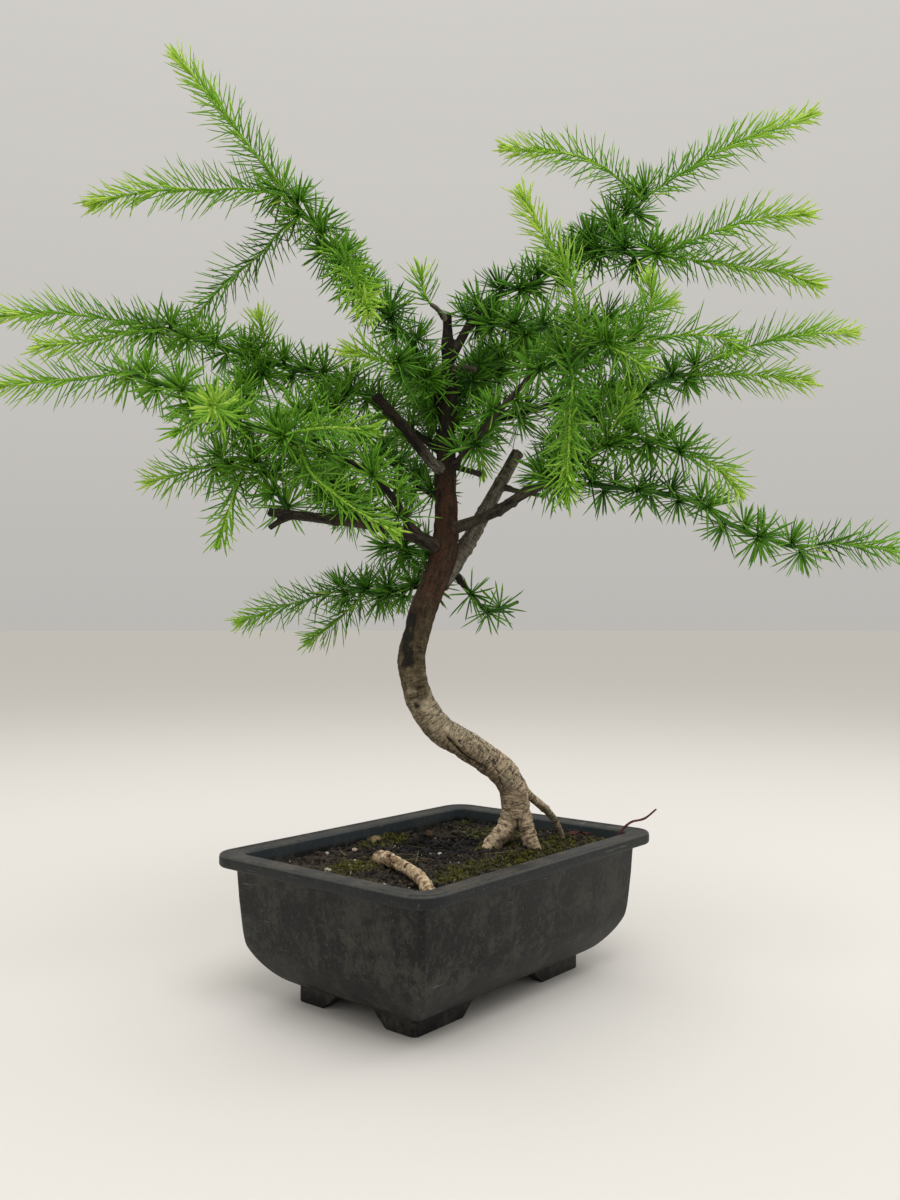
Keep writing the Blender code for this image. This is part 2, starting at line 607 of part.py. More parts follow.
# How far along two bars, as parts of their lengths, they come closest
def nearest_parts(start, ray, other, other_ray):
    across = start - other
    a = np.sum(ray * ray, axis=1)
    b = np.sum(ray * other_ray, axis=1)
    c = np.sum(other_ray * other_ray, axis=1)
    d = np.sum(ray * across, axis=1)
    e = np.sum(other_ray * across, axis=1)
    s = np.clip((b * e - c * d) / np.maximum(a * c - b * b, 1e-6), 0, 1)
    t = np.clip((b * s + e) / c, 0, 1)
    s = np.clip((b * t - d) / a, 0, 1)
    return s, t


def record_stem(thicket, stem, owner, step=4.0):
    line = stem["line"]
    lengths = line_lengths(line)
    count = max(1, round(lengths[-1] / step))
    places = [lengths[-1] * i / count for i in range(count + 1)]
    for a, b in zip(places, places[1:]):
        thicket.add(point_at(line, lengths, a), point_at(line, lengths, b),
                    width_at(stem["widths"], a / lengths[-1]) / 2,
                    width_at(stem["widths"], b / lengths[-1]) / 2, owner)


# A twig that goes on from its parent's end starts a gap beyond it. One that leaves the side
# starts where its end face is clear of the parent.
def seat_stem(stem, parent, widths):
    end = parent["line"][-1]
    if (stem["line"][0] - end).length < 1.5:
        forward = (end - parent["line"][-2]).normalized()
        rest = [point for point in stem["line"] if (point - end).length > 4.0]
        stem["line"] = smooth_line([end + forward * GAP, end + forward * (GAP + 2.0)] + rest[::12]
                                   + [rest[-1]])
        return
    line = stem["line"]
    start = next(i for i in range(len(line) - 1) if is_clear(line, i, parent, widths[0] / 2))
    stem["line"] = line[start:]


def is_clear(line, i, parent, radius):
    forward = (line[i + 1] - line[i]).normalized()
    side = forward.orthogonal().normalized()
    corners = [line[i] + radius * turned(side, forward, math.tau * k / 8) for k in range(8)]
    return min(bark_distance(corner, parent) for corner in corners) > GAP


# A twig's flat sides lie closer to its middle than its corners do
def bark_distance(point, stem):
    line = stem["line"]
    count = len(line) - 1
    bulk = TWIG_BULK if stem["sides"] == TWIG_SIDES else 1.0
    return min((point - spot).length - bulk * width_at(stem["widths"], i / count) / 2
               for i, spot in enumerate(line))


def plan_stems():
    stems = {"trunk": make_stem("trunk", TRUNK, TRUNK_DIAMETERS, TRUNK_SIDES)}
    for name, (points, first, last) in LIMBS.items():
        stems[name] = make_stem(name, points, (first, last), LIMB_SIDES)
    for name, (parent, points) in SPRAYS.items():
        stems[name] = make_stem(name, points, SPRAY_WIDTH, TWIG_SIDES)
        seat_stem(stems[name], stems[parent], SPRAY_WIDTH)
    for name, (parent, points) in SHOOTS.items():
        stems[name] = make_stem(name, points, SHOOT_WIDTH, TWIG_SIDES)
        seat_stem(stems[name], stems[parent], SHOOT_WIDTH)
    return stems


# A needle is a face of the twig drawn out to a point
def raise_needle(bm, face, aim, length, crowd):
    thicket, rng, kin = crowd
    base = face.calc_center_median()
    radius = math.sqrt(face.calc_area()) * NEEDLE_FOOT
    for attempt in range(NEEDLE_TRIES):
        wander = math.radians(NEEDLE_WANDER[0] + NEEDLE_WANDER[1] * attempt)
        swing = Vector([rng.gauss(0, 1) for axis in range(3)]).normalized() * math.sin(wander)
        reach = length * (1 - NEEDLE_SHRINK * attempt)
        tip = base + (aim + swing * rng.random()).normalized() * reach
        if thicket.space(base, tip, radius, kin) > NEEDLE_CLEAR:
            thicket.add(base, tip, radius, 0.0, kin[-1])
            poked = bmesh.ops.poke(bm, faces=[face])
            poked["verts"][0].co = tip
            return


def split_face(bm, face):
    return bmesh.ops.poke(bm, faces=[face])["faces"]


def tilted(axis, outward, degrees):
    angle = math.radians(degrees)
    return axis * math.cos(angle) + outward * math.sin(angle)


def square_to(vector, axis):
    return (vector - axis * vector.dot(axis)).normalized()


# A spur stands on one face of the twig and carries a star of needles
def grow_spur(bm, face, crowd):
    thicket, rng, kin = crowd
    axis = face.normal.copy()
    foot = face.calc_center_median()
    head = foot + axis * SPUR_HEIGHT
    if thicket.space(foot, head, SPUR_BASE, kin, host=kin[0]) < GAP:
        return
    thicket.add(foot, head, SPUR_BASE * SPUR_TAPER, SPUR_BASE * SPUR_TAPER / 2, kin[-1])
    before = [vert.co.copy() for vert in face.verts]
    after = [head + (corner - foot) * SPUR_TAPER for corner in before]
    top, collar = extrude_to(bm, face, before, after)
    for wall in collar:
        grow_collar(bm, wall, foot, axis, crowd)
    for face in split_face(bm, top):
        outward = square_to(face.calc_center_median() - foot, axis)
        raise_needle(bm, face, tilted(axis, outward, SPUR_TILTS["top"]), SPUR_NEEDLE, crowd)


def grow_collar(bm, wall, foot, axis, crowd):
    out = square_to(wall.calc_center_median() - foot, axis)
    around = axis.cross(out)
    middle = wall.calc_center_median()
    for face in split_face(bm, wall):
        offset = face.calc_center_median() - middle
        sideways = offset.dot(around)
        if abs(sideways) > abs(offset.dot(axis)):
            outward = (out + around * math.copysign(SPUR_SPREAD, sideways)).normalized()
            aim = tilted(axis, outward, SPUR_TILTS["side"])
        elif offset.dot(axis) > 0:
            aim = tilted(axis, out, SPUR_TILTS["upper"])
        else:
            continue
        raise_needle(bm, face, aim, SPUR_NEEDLE, crowd)


def spur_places(stem):
    length = line_lengths(stem["line"])[-1]
    count = max(2, round((length - 4.0) / SPUR_STEP))
    step = (length - 4.0) / count
    return [step * (i + SPUR_START) for i in range(count)]


def plan_spray(stem, turn):
    stations = [(0.0, turn)]
    for i, place in enumerate(spur_places(stem)):
        twist = turn + SPUR_TWIST * i
        stations.append((place - SPUR_BASE / 2, twist))
        stations.append((place + SPUR_BASE / 2, twist))
    stations.append((line_lengths(stem["line"])[-1], stations[-1][1]))
    return stations


def make_spray(name, stem, owner, thicket, rng, holder, material):
    bm = bmesh.new()
    turn = rng.uniform(0, math.tau)
    lengths, end = loft(bm, tube_rings(stem, plan_spray(stem, turn)))
    for i, walls in enumerate(lengths[1::2]):
        spurred = walls[SPUR_SIDES[i % 4]]
        grow_spur(bm, spurred, (thicket, rng, [owner, 1000 * (owner + 1) + i]))
    return finish_object("spray_" + name, bm, material, holder)


# A shoot has needles all along, closer to the stem toward its tip
def plan_shoot(stem, turn):
    length = line_lengths(stem["line"])[-1]
    count = max(2, int((length - 4.0) / SHOOT_STEP))
    step = (length - 3.0) / count
    stations = [(0.0, turn)]
    for i in range(count):
        twist = turn + SHOOT_TWIST * i
        place = step * (i + SHOOT_START)
        stations.append((place, twist))
        stations.append((place + SHOOT_COLLAR, twist))
    stations.append((length, stations[-1][1]))
    return stations


def make_shoot(name, stem, owner, thicket, rng, holder, material):
    bm = bmesh.new()
    rings = tube_rings(stem, plan_shoot(stem, rng.uniform(0, math.tau)))
    lengths, end = loft(bm, rings)
    collars = lengths[1::2]
    for i, walls in enumerate(collars):
        part = i / max(1, len(collars) - 1)
        reach = SHOOT_NEEDLE + (SHOOT_TIP_NEEDLE - SHOOT_NEEDLE) * part ** 2
        tilt = SHOOT_TILTS[0] + (SHOOT_TILTS[1] - SHOOT_TILTS[0]) * part
        forward = (ring_middle(rings[2 * i + 2]) - ring_middle(rings[2 * i + 1])).normalized()
        for face in walls:
            outward = square_to(face.normal, forward)
            raise_needle(bm, face, tilted(forward, outward, tilt), reach,
                         (thicket, rng, [owner, 1000 * (owner + 1) + i]))
    grow_bud(bm, end, (thicket, rng, [owner, 1000 * (owner + 1) + 999]))
    return finish_object("shoot_" + name, bm, material, holder)


def ring_middle(ring):
    return sum(ring, Vector()) / len(ring)


def grow_bud(bm, end, crowd):
    forward = end.normal.copy()
    middle = end.calc_center_median()
    for face in split_face(bm, end):
        outward = square_to(face.calc_center_median() - middle, forward)
        raise_needle(bm, face, tilted(forward, outward, BUD_TILT), SHOOT_TIP_NEEDLE, crowd)


def make_tube(tube, material, holder):
    name, points, widths, sides, step = tube
    bm = bmesh.new()
    stem = make_stem(name, points, widths, sides)
    loft(bm, tube_rings(stem, stem_stations(stem, step)))
    return finish_object(name, bm, material, holder)


def make_foliage(stems, holder):
    rng = random.Random(SEED)
    thicket = Thicket()
    owners = {name: i for i, name in enumerate(stems)}
    for name, stem in stems.items():
        record_stem(thicket, stem, owners[name])
    old_green = make_material("old_needles", (0.035, 0.12, 0.025), 0.5)
    new_green = make_material("new_needles", (0.12, 0.33, 0.04), 0.5)
    for name in SPRAYS:
        make_spray(name, stems[name], owners[name], thicket, rng, holder, old_green)
    for name in SHOOTS:
        make_shoot(name, stems[name], owners[name], thicket, rng, holder, new_green)


# The origin is under the middle of the whole object's box, at the height it stands on
def settle(holder):
    depsgraph = bpy.context.evaluated_depsgraph_get()
    corners = []
    for thing in bpy.data.objects:
        if thing.type == "MESH" and not thing.hide_render:
            mesh = thing.evaluated_get(depsgraph).to_mesh()
            corners.extend(thing.matrix_world @ vert.co for vert in mesh.vertices)
    low = [min(corner[axis] for corner in corners) for axis in range(3)]
    high = [max(corner[axis] for corner in corners) for axis in range(3)]
    holder.location = (-(low[0] + high[0]) / 2, -(low[1] + high[1]) / 2, -low[2])
    bpy.context.view_layer.update()


def main():
    empty_scene()
    holder = bpy.data.objects.new("bonsai_origin", None)
    bpy.context.scene.collection.objects.link(holder)
    make_pot(holder)
    make_soil(holder)
    stems = plan_stems()
    make_wood(holder, stems)
    tan = make_material("bare_root", (0.32, 0.22, 0.14), 0.8)
    make_tube(LYING_ROOT, tan, holder)
    dry = make_material("dry_twig", (0.12, 0.045, 0.03), 0.8)
    make_tube(STANDING_TWIG, dry, holder)
    make_foliage(stems, holder)
    settle(holder)


main()
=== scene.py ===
import math
import random
from functools import partial

import bmesh
import bpy
import numpy as np
from mathutils import Matrix, Vector, noise
from mathutils.bvhtree import BVHTree
from mathutils.kdtree import KDTree


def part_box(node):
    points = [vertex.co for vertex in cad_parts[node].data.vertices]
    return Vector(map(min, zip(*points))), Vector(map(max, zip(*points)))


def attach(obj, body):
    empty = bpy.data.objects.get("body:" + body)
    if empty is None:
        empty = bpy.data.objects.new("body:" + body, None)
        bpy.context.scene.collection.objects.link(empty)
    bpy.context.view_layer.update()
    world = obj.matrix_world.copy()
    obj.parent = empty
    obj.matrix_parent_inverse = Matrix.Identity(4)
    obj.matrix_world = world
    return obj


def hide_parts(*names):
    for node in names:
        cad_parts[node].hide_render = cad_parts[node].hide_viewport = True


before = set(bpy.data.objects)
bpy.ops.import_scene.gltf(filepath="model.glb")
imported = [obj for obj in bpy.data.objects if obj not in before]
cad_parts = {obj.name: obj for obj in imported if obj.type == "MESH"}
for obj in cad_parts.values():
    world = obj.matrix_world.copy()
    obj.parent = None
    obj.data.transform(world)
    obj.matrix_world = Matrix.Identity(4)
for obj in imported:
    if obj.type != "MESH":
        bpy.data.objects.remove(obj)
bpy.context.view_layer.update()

# A larch bonsai in a moulded pot. Pieces are shaped in millimetres from the middle of the pot's
# underside, and taken to the frame's metres when they are finished.
print("larch bonsai: the packed model is in")

scene = bpy.context.scene
scene.view_settings.view_transform = "Standard"
potLow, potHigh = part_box("pot")
potMiddle = (potLow + potHigh) / 2
toFrame = Matrix.Translation((potMiddle.x, potMiddle.y, potLow.z)) @ Matrix.Scale(0.001, 4)
goldenAngle = math.radians(137.5)


# Materials
def tint(code):
    def linear(part):
        return part / 12.92 if part <= 0.04045 else ((part + 0.055) / 1.055) ** 2.4
    return (*[linear(int(code[i:i + 2], 16) / 255) for i in (1, 3, 5)], 1.0)


def perSize(millimetres):  # a texture's scale for a pattern that repeats at this real size
    return 1000.0 / millimetres


# Adds a node, with its inputs by name or in order, and gives one of its outputs
def addNode(material, kind, inputs=(), ramp=None, out=0, **settings):
    def coloured(value):
        return tint(value) if isinstance(value, str) else value

    node = material.node_tree.nodes.new("ShaderNode" + kind)
    for name, value in settings.items():
        setattr(node, name, value)
    for socket, value in inputs.items() if isinstance(inputs, dict) else enumerate(inputs):
        if isinstance(value, bpy.types.NodeSocket):
            material.node_tree.links.new(value, node.inputs[socket])
        else:
            node.inputs[socket].default_value = coloured(value)
    if ramp:
        stops = node.color_ramp.elements
        stops.remove(stops[1])
        stops[0].position, stops[0].color = ramp[0][0], coloured(ramp[0][1])
        for position, colour in ramp[1:]:
            stops.new(position).color = coloured(colour)
    return node.outputs[out]


def startMaterial(name):
    material = bpy.data.materials.new(name)
    material.use_nodes = True
    return material, material.node_tree.nodes["Principled BSDF"], partial(addNode, material)


def layered(add, base, *coats):  # each coat is a mask and the colour it shows
    for mask, colour in coats:
        base = add("Mix", {0: mask, 6: base, 7: colour}, out=2, data_type="RGBA")
    return base


def dress(material, shader, colour, roughness=None, bump=None, **values):
    for name, socket in (("Base Color", colour), ("Roughness", roughness), ("Normal", bump)):
        if socket is not None:
            material.node_tree.links.new(socket, shader.inputs[name])
    for name, value in values.items():
        shader.inputs[name.replace("_", " ")].default_value = value
    return material


# Camera, floor and light
view = {
    "place": (-511.0, -430.0, 221.0),  # mm from the middle of the pot's underside
    "turn": math.radians(-50.2),
    "tilt": math.radians(91.2),
    "lens": 32.4,
    "floorRadius": 30.0,
    "floorTone": "#e4e1dc",
    "skyTone": "#e8e5e0",
    "skyStrength": (0.62, 0.95),  # at the horizon and overhead
    # Softboxes: place and aim in metres, size, strength
    "lights": [((-0.4, -0.6, 1.75), (0.0, 0.0, 0.25), 1.2, 15.0),
               ((1.0, -0.5, 1.2), (0.0, 0.0, 0.3), 1.0, 3.0),
               ((0.2, 0.9, 1.5), (0.0, 0.0, 0.3), 1.2, 4.0)],
}


def setView():
    camera = bpy.data.objects.new("photoCamera", bpy.data.cameras.new("photoCamera"))
    scene.collection.objects.link(camera)
    camera.location = toFrame @ Vector(view["place"])
    camera.rotation_euler = (view["tilt"], 0.0, view["turn"])
    camera.data.sensor_width = 36.0
    camera.data.lens = view["lens"]
    camera.data.clip_start = 0.01
    scene.camera = camera


def layFloor():
    bm = bmesh.new()
    bmesh.ops.create_circle(bm, cap_ends=True, segments=96, radius=view["floorRadius"])
    floor = shaper(meshFrom(bm, "paleFloor"))
    material, shader, add = startMaterial("paleFloor")
    shader.inputs["Base Color"].default_value = tint(view["floorTone"])
    shader.inputs["Roughness"].default_value = 0.85
    floor.data.materials.append(material)


def hangLights():
    for number, (place, aim, size, strength) in enumerate(view["lights"]):
        lamp = bpy.data.lights.new(f"softbox{number}", "AREA")
        lamp.shape = "SQUARE"
        lamp.size = size
        lamp.energy = strength
        thing = bpy.data.objects.new(lamp.name, lamp)
        scene.collection.objects.link(thing)
        thing.location = place
        thing.rotation_euler = (Vector(aim) - Vector(place)).to_track_quat("-Z", "Y").to_euler()
    world = scene.world or bpy.data.worlds.new("studio")
    scene.world = world
    world.use_nodes = True
    background = world.node_tree.nodes["Background"]
    background.inputs["Color"].default_value = tint(view["skyTone"])
    aim = addNode(world, "TexCoord", out="Generated")
    rise = addNode(world, "SeparateXYZ", {"Vector": aim}, out="Z")
    atHorizon, overhead = view["skyStrength"]
    strength = addNode(world, "MapRange", (rise, 0, 1, atHorizon, overhead))
    world.node_tree.links.new(strength, background.inputs["Strength"])


# Building blocks
def finishPiece(name, mesh, materials, slot, *nodes):
    mesh.transform(toFrame)
    piece = shaper(mesh)
    piece.name = name
    mesh.materials.clear()
    for material in materials:
        mesh.materials.append(material)
    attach(piece, "root")
    if nodes:
        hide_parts(*nodes)
    return piece


def meshFrom(bm, name):
    mesh = bpy.data.meshes.new(name)
    bm.to_mesh(mesh)
    bm.free()
    return mesh


def shaper(mesh):  # an object that holds a mesh, for a while or to stay
    thing = bpy.data.objects.new(mesh.name, mesh)
    scene.collection.objects.link(thing)
    return thing


def shaped(thing, *others):
    graph = bpy.context.evaluated_depsgraph_get()
    mesh = bpy.data.meshes.new_from_object(thing.evaluated_get(graph))
    for done in (thing, *others):
        bpy.data.objects.remove(done, do_unlink=True)
    return mesh


def cut(thing, tool, operation="DIFFERENCE"):
    modifier = thing.modifiers.new(tool.name, "BOOLEAN")
    modifier.operation = operation
    modifier.object = tool


def roundShade(mesh, degrees):
    mesh.shade_smooth()
    mesh.set_sharp_from_angle(angle=math.radians(degrees))


def addMarks(mesh, name, values, kind="FLOAT"):
    field = "value" if kind == "FLOAT" else "vector"
    layer = mesh.attributes.new(name, kind, "POINT")
    layer.data.foreach_set(field, np.asarray(values, np.float32).ravel())


# A closed skin over rings of points. A ring whose points meet makes a pole.
def loft(bm, rings):
    sides = len(rings[0])
    before = len(bm.verts)
    made = bmesh.ops.create_grid(bm, x_segments=sides, y_segments=len(rings) - 1, size=1.0)["verts"]
    places = (point for ring in rings for point in ring + ring[:1])
    for vert, place in zip(made, places):
        vert.co = place
    bmesh.ops.remove_doubles(bm, verts=made, dist=0.001)
    bm.verts.ensure_lookup_table()
    kept = bm.verts[before:]
    rims = {edge for vert in kept for edge in vert.link_edges if edge.is_boundary}
    if rims:
        bmesh.ops.holes_fill(bm, edges=list(rims), sides=0)
    faces = list({face for vert in kept for face in vert.link_faces})
    bmesh.ops.recalc_face_normals(bm, faces=faces)
    return kept


def blend(low, high, value):  # 0 at low, 1 at high, eased between
    part = min(max((value - low) / (high - low), 0.0), 1.0)
    return part * part * (3.0 - 2.0 * part)


def bell(distance, width, middle=0.0, power=2):  # 1 at the middle, falling off over the width
    return math.exp(-((distance - middle) / width) ** power)


# Stems are smooth curves through listed points, measured in mm from the trunk's foot at
# soil level as (right along the crown, away across it, up) and then turned to the pot
tree = {"foot": (46.0, -20.0, 77.0), "turn": math.radians(-50.2)}


def treePoint(place):
    return Matrix.Rotation(tree["turn"], 3, "Z") @ Vector(place) + Vector(tree["foot"])


def curvePoint(p0, p1, p2, p3, t):
    return 0.5 * (2 * p1 + (p2 - p0) * t + (2 * p0 - 5 * p1 + 4 * p2 - p3) * t ** 2
        + (3 * p1 - p0 - 3 * p2 + p3) * t ** 3)


def smoothLine(points, step=0.5):
    points = [points[0] * 2 - points[1]] + points + [points[-1] * 2 - points[-2]]
    line = []
    for p0, p1, p2, p3 in zip(points, points[1:], points[2:], points[3:]):
        count = max(2, math.ceil((p2 - p1).length / step))
        line += [curvePoint(p0, p1, p2, p3, i / count) for i in range(count)]
    return line + [points[-2]]


def makeStem(points, widths):
    line = smoothLine([treePoint(point) for point in points])
    lengths = [0.0]
    for a, b in zip(line, line[1:]):
        lengths.append(lengths[-1] + (b - a).length)
    side = None
    frames = []
    for i, place in enumerate(line):
        forward = (line[min(i + 1, len(line) - 1)] - line[max(i - 1, 0)]).normalized()
        side = side or forward.orthogonal()
        side = (side - forward * side.dot(forward)).normalized()
        frames.append((place, forward, side, forward.cross(side)))
    return {"frames": frames, "lengths": lengths, "length": lengths[-1], "widths": list(widths)}


def frameAt(stem, along):
    i = int(np.searchsorted(stem["lengths"], along))
    return stem["frames"][min(max(i, 0), len(stem["frames"]) - 1)]


def widthAt(stem, along):
    widths = stem["widths"]
    place = min(max(along / stem["length"], 0.0), 1.0) * (len(widths) - 1)
    i = min(int(place), len(widths) - 2)
    return widths[i] + (widths[i + 1] - widths[i]) * (place - i)


# Rings round a stem. `swell` gives the factor on the radius at a distance along and an angle.
def stemRings(stem, step, sides, swell=None, closed=False):
    count = max(2, round(stem["length"] / step))
    rings = []
    for i in range(count + 1):
        along = stem["length"] * i / count
        place, forward, side, across = frameAt(stem, along)
        radius = widthAt(stem, along) / 2
        ring = []
        for k in range(sides):
            angle = math.tau * k / sides
            reach = radius * (swell(along, angle) if swell else 1.0)
            ring.append(place + side * (reach * math.cos(angle)) + across * (reach * math.sin(angle)))
        rings.append(ring)
    if closed:  # a rounded tip
        place, forward, side, across = stem["frames"][-1]
        rings.append([place + forward * radius * 0.7 + (point - place) * 0.55 for point in rings[-1]])
        rings.append([place + forward * radius * 0.95] * sides)
    return rings


# Pot: its profile is (inset from the rim's outer edge, height, corner radius)
pot = {
    "length": 230.0,
    "width": 168.0,
    "wall": 2.5,
    "cornerSteps": 10,
    "curve": [(36.5, 9.0, 4.0), (29.0, 13.6, 3.5), (22.0, 21.0, 3.0), (16.3, 30.0, 3.0),
        (14.0, 38.0, 3.0)],
    "body": [(12.0, 60.0, 3.0), (11.0, 78.2, 3.0)],
    "rim": [(10.4, 79.1, 4.0), (9.0, 79.4, 5.0), (2.0, 79.4, 14.0), (0.9, 79.7, 15.1),
        (0.25, 80.4, 15.75), (0.0, 81.3, 16.0), (0.0, 85.0, 16.0), (0.3, 86.0, 15.7), (0.9, 86.6, 15.1),
        (1.8, 86.8, 14.2), (2.7, 86.7, 13.3), (3.1, 86.3, 12.9), (3.8, 86.15, 12.2), (11.6, 86.3, 7.4),
        (12.7, 86.1, 6.8), (13.3, 85.5, 6.2), (13.5, 84.6, 6.0)],
    "innerCorner": 5.0,
    "floor": [(30.5, 14.8, 5.0), (38.0, 11.8, 5.0)],
    "footLength": 158.0,
    "footWidth": 92.0,
    "footCorner": 4.0,
    "footWall": 7.0,
    "footTop": 10.5,
    "footGaps": (78.0, 50.0),
    "footSlant": 12.0,
    "drainDiameter": 9.0,
    "drains": [(-45.0, -18.0), (-45.0, 18.0), (45.0, -18.0), (45.0, 18.0)],
    "plastic": "#0f1010",
    "dust": "#3a3933",
    "grime": "#090909",
    "scuffAndHighlight": "#7b7a74",
    "rimDust": "#544f45",
    "rimSheen": "#1f2325",
    "sheenAndDust": "#333c41",
    "edgeHighlight": "#d3d3d3",
}


def roundedOutline(length, width, corner, height, steps):
    points = []
    for quarter, (sx, sy) in enumerate([(1, 1), (-1, 1), (-1, -1), (1, -1)]):
        for step in range(steps + 1):
            angle = (quarter + step / steps) * math.pi / 2
            points.append(Vector((sx * (length / 2 - corner) + corner * math.cos(angle),
                sy * (width / 2 - corner) + corner * math.sin(angle), height)))
    return points


def potOutline(inset, height, corner):
    return roundedOutline(pot["length"] - 2 * inset, pot["width"] - 2 * inset, corner, height,
        pot["cornerSteps"])


def innerProfile():
    outer = pot["curve"][2:] + pot["body"][:1]
    walls = [(inset + pot["wall"], height, pot["innerCorner"]) for inset, height, _ in reversed(outer)]
    return walls + pot["floor"]


def block(length, width, height):
    bm = bmesh.new()
    made = bmesh.ops.create_cube(bm, size=1.0)["verts"]
    bmesh.ops.scale(bm, vec=Vector((length, width, height)), verts=made)
    return bm


def footNotch(gap, reach, turn):
    bm = block(gap, reach, 2 * pot["footTop"] + 20)
    for vert in bm.verts:
        vert.co.x -= math.copysign(1.0, vert.co.x) * pot["footSlant"] * vert.co.z / pot["footTop"]
    bmesh.ops.rotate(bm, verts=list(bm.verts), cent=Vector(), matrix=Matrix.Rotation(turn, 3, "Z"))
    return shaper(meshFrom(bm, "footNotch"))


def makeFeet():
    bm = bmesh.new()
    loft(bm, [roundedOutline(pot["footLength"], pot["footWidth"], pot["footCorner"], height, 6)
        for height in (0.0, pot["footTop"])])
    low = [edge for edge in bm.edges if all(vert.co.z < 0.01 for vert in edge.verts)]
    bmesh.ops.bevel(bm, geom=low, offset=0.5, affect="EDGES", segments=2, profile=0.5, material=-1)
    feet = shaper(meshFrom(bm, "feet"))
    wall = 2 * pot["footWall"]
    tools = [shaper(meshFrom(block(pot["footLength"] - wall, pot["footWidth"] - wall, 40.0), "middle")),
        footNotch(pot["footGaps"][0], pot["width"], 0.0), footNotch(pot["footGaps"][1], pot["length"],
        math.pi / 2)]
    for tool in tools:
        cut(feet, tool)
    return shaper(shaped(feet, *tools))


def drainTool(place):
    bm = bmesh.new()
    radius = pot["drainDiameter"] / 2
    bmesh.ops.create_cone(bm, cap_ends=True, segments=32, radius1=radius, radius2=radius, depth=20.0)
    bmesh.ops.translate(bm, vec=Vector((*place, pot["footTop"])), verts=list(bm.verts))
    return shaper(meshFrom(bm, "drain"))


# Injection-moulded polypropylene: satin charcoal, with a fine mould grain that breaks up the
# light, brown-green garden dust in small blotches, dark drips down the walls, thin pale scratches,
# and on the rim dust, a painted cool sheen and a painted highlight line along its outer top edge
def pottingPlastic():
    material, shader, add = startMaterial("mouldedPolypropylene")
    place = add("TexCoord", out="Object")
    broad = add("TexNoise", {"Vector": place, "Scale": perSize(22), "Detail": 5, "Roughness": 0.65})
    stretched = add("Mapping", {"Vector": place, "Scale": (1.0, 1.0, 0.75)})
    small = add("TexNoise", {"Vector": stretched, "Scale": perSize(3.6), "Detail": 8, "Roughness": 0.78,
                             "Distortion": 0.4})
    speckle = add("TexNoise", {"Vector": place, "Scale": perSize(1.7), "Detail": 4, "Roughness": 0.7})
    runs = add("Mapping", {"Vector": place, "Scale": (1.0, 1.0, 0.3)})
    drips = add("TexNoise", {"Vector": runs, "Scale": perSize(11), "Detail": 3, "Distortion": 0.3})
    slanted = add("Mapping", {"Vector": place, "Rotation": (0.35, 0.3, 0.0), "Scale": (0.07, 0.07, 1.0)})
    scratches = add("TexNoise", {"Vector": slanted, "Scale": perSize(1.5), "Detail": 2})
    mottle = add("Math", (broad, small), operation="ADD")
    dusty = add("MapRange", (mottle, 0.93, 1.14))
    darkened = add("MapRange", (drips, 0.6, 0.66, 0, 0.6))
    # The rim, above the soil's level, catches dust, and has a painted sheen of the sky, bluer on the inner
    # wall
    height = add("SeparateXYZ", (place,), out="Z")
    rim = add("MapRange", (height, 0.0785, 0.0805, 0, 0.7))
    upward, inward = (add("Attribute", out="Fac", attribute_name=name) for name in ("rimUp", "rimInward"))
    settled = add("Math", (add("MapRange", (upward, 0.6, 0.98)), dusty), operation="MULTIPLY")
    inner = add("MapRange", (inward, 0.1, 0.6))
    # Painted sheen: the rim's cool blue-grey, bluer on the inner wall, with real dust settled over it
    sheenAndDust = layered(add, pot["rimSheen"], (inner, pot["sheenAndDust"]), (settled, pot["rimDust"]))
    # Painted highlight: a thin light line along the rim's outer top edge, where its faces turn from up to
    # out; the same pale colour also marks real scratches and specks
    edge = add("ValToRGB", (upward,), [(0.2, "#000000"), (0.45, pot["edgeHighlight"]), (0.75, pot["edgeHighlight"]),
                                       (0.92, "#000000")])
    edge = add("Math", (edge, rim), operation="MULTIPLY")
    edge = add("Math", (edge, small), operation="MULTIPLY")
    fine = add("MapRange", (speckle, 0.6, 0.74, 0, 0.45))
    worn = add("MapRange", (scratches, 0.7, 0.78, 0, 0.55))
    marks = add("Math", (fine, worn), operation="MAXIMUM")
    base = layered(add, pot["plastic"], (dusty, pot["dust"]), (darkened, pot["grime"]), (rim, sheenAndDust),
                   (edge, pot["scuffAndHighlight"]), (marks, pot["scuffAndHighlight"]))
    rough = add("MapRange", (mottle, 0.7, 1.3, 0.42, 0.68))
    grain = add("TexNoise", {"Vector": place, "Scale": perSize(0.9), "Detail": 3})
    bump = add("Bump", {"Height": grain, "Strength": 0.35, "Distance": 0.0003})
    return dress(material, shader, base, rough, bump, IOR=1.49, Specular_IOR_Level=0.25)


def makePot():
    curve = smoothLine([Vector(level) for level in pot["curve"] + pot["body"][:1]], 3.0)
    levels = [tuple(level) for level in curve] + pot["body"][1:] + pot["rim"] + innerProfile()
    bm = bmesh.new()
    loft(bm, [potOutline(*level) for level in levels])
    body = shaper(meshFrom(bm, "potBody"))
    feet = makeFeet()
    cut(body, feet, "UNION")
    drains = [drainTool(place) for place in pot["drains"]]
    for drain in drains:
        cut(body, drain)
    mesh = shaped(body, feet, *drains)
    addMarks(mesh, "rimUp", [vert.normal.z for vert in mesh.vertices])
    addMarks(mesh, "rimInward", [-vert.normal.dot(Vector((vert.co.x, vert.co.y, 0.0)).normalized())
        for vert in mesh.vertices])
    roundShade(mesh, 38)
    finishPiece("mouldedPot", mesh, [pottingPlastic()], "pot_plastic", "pot")


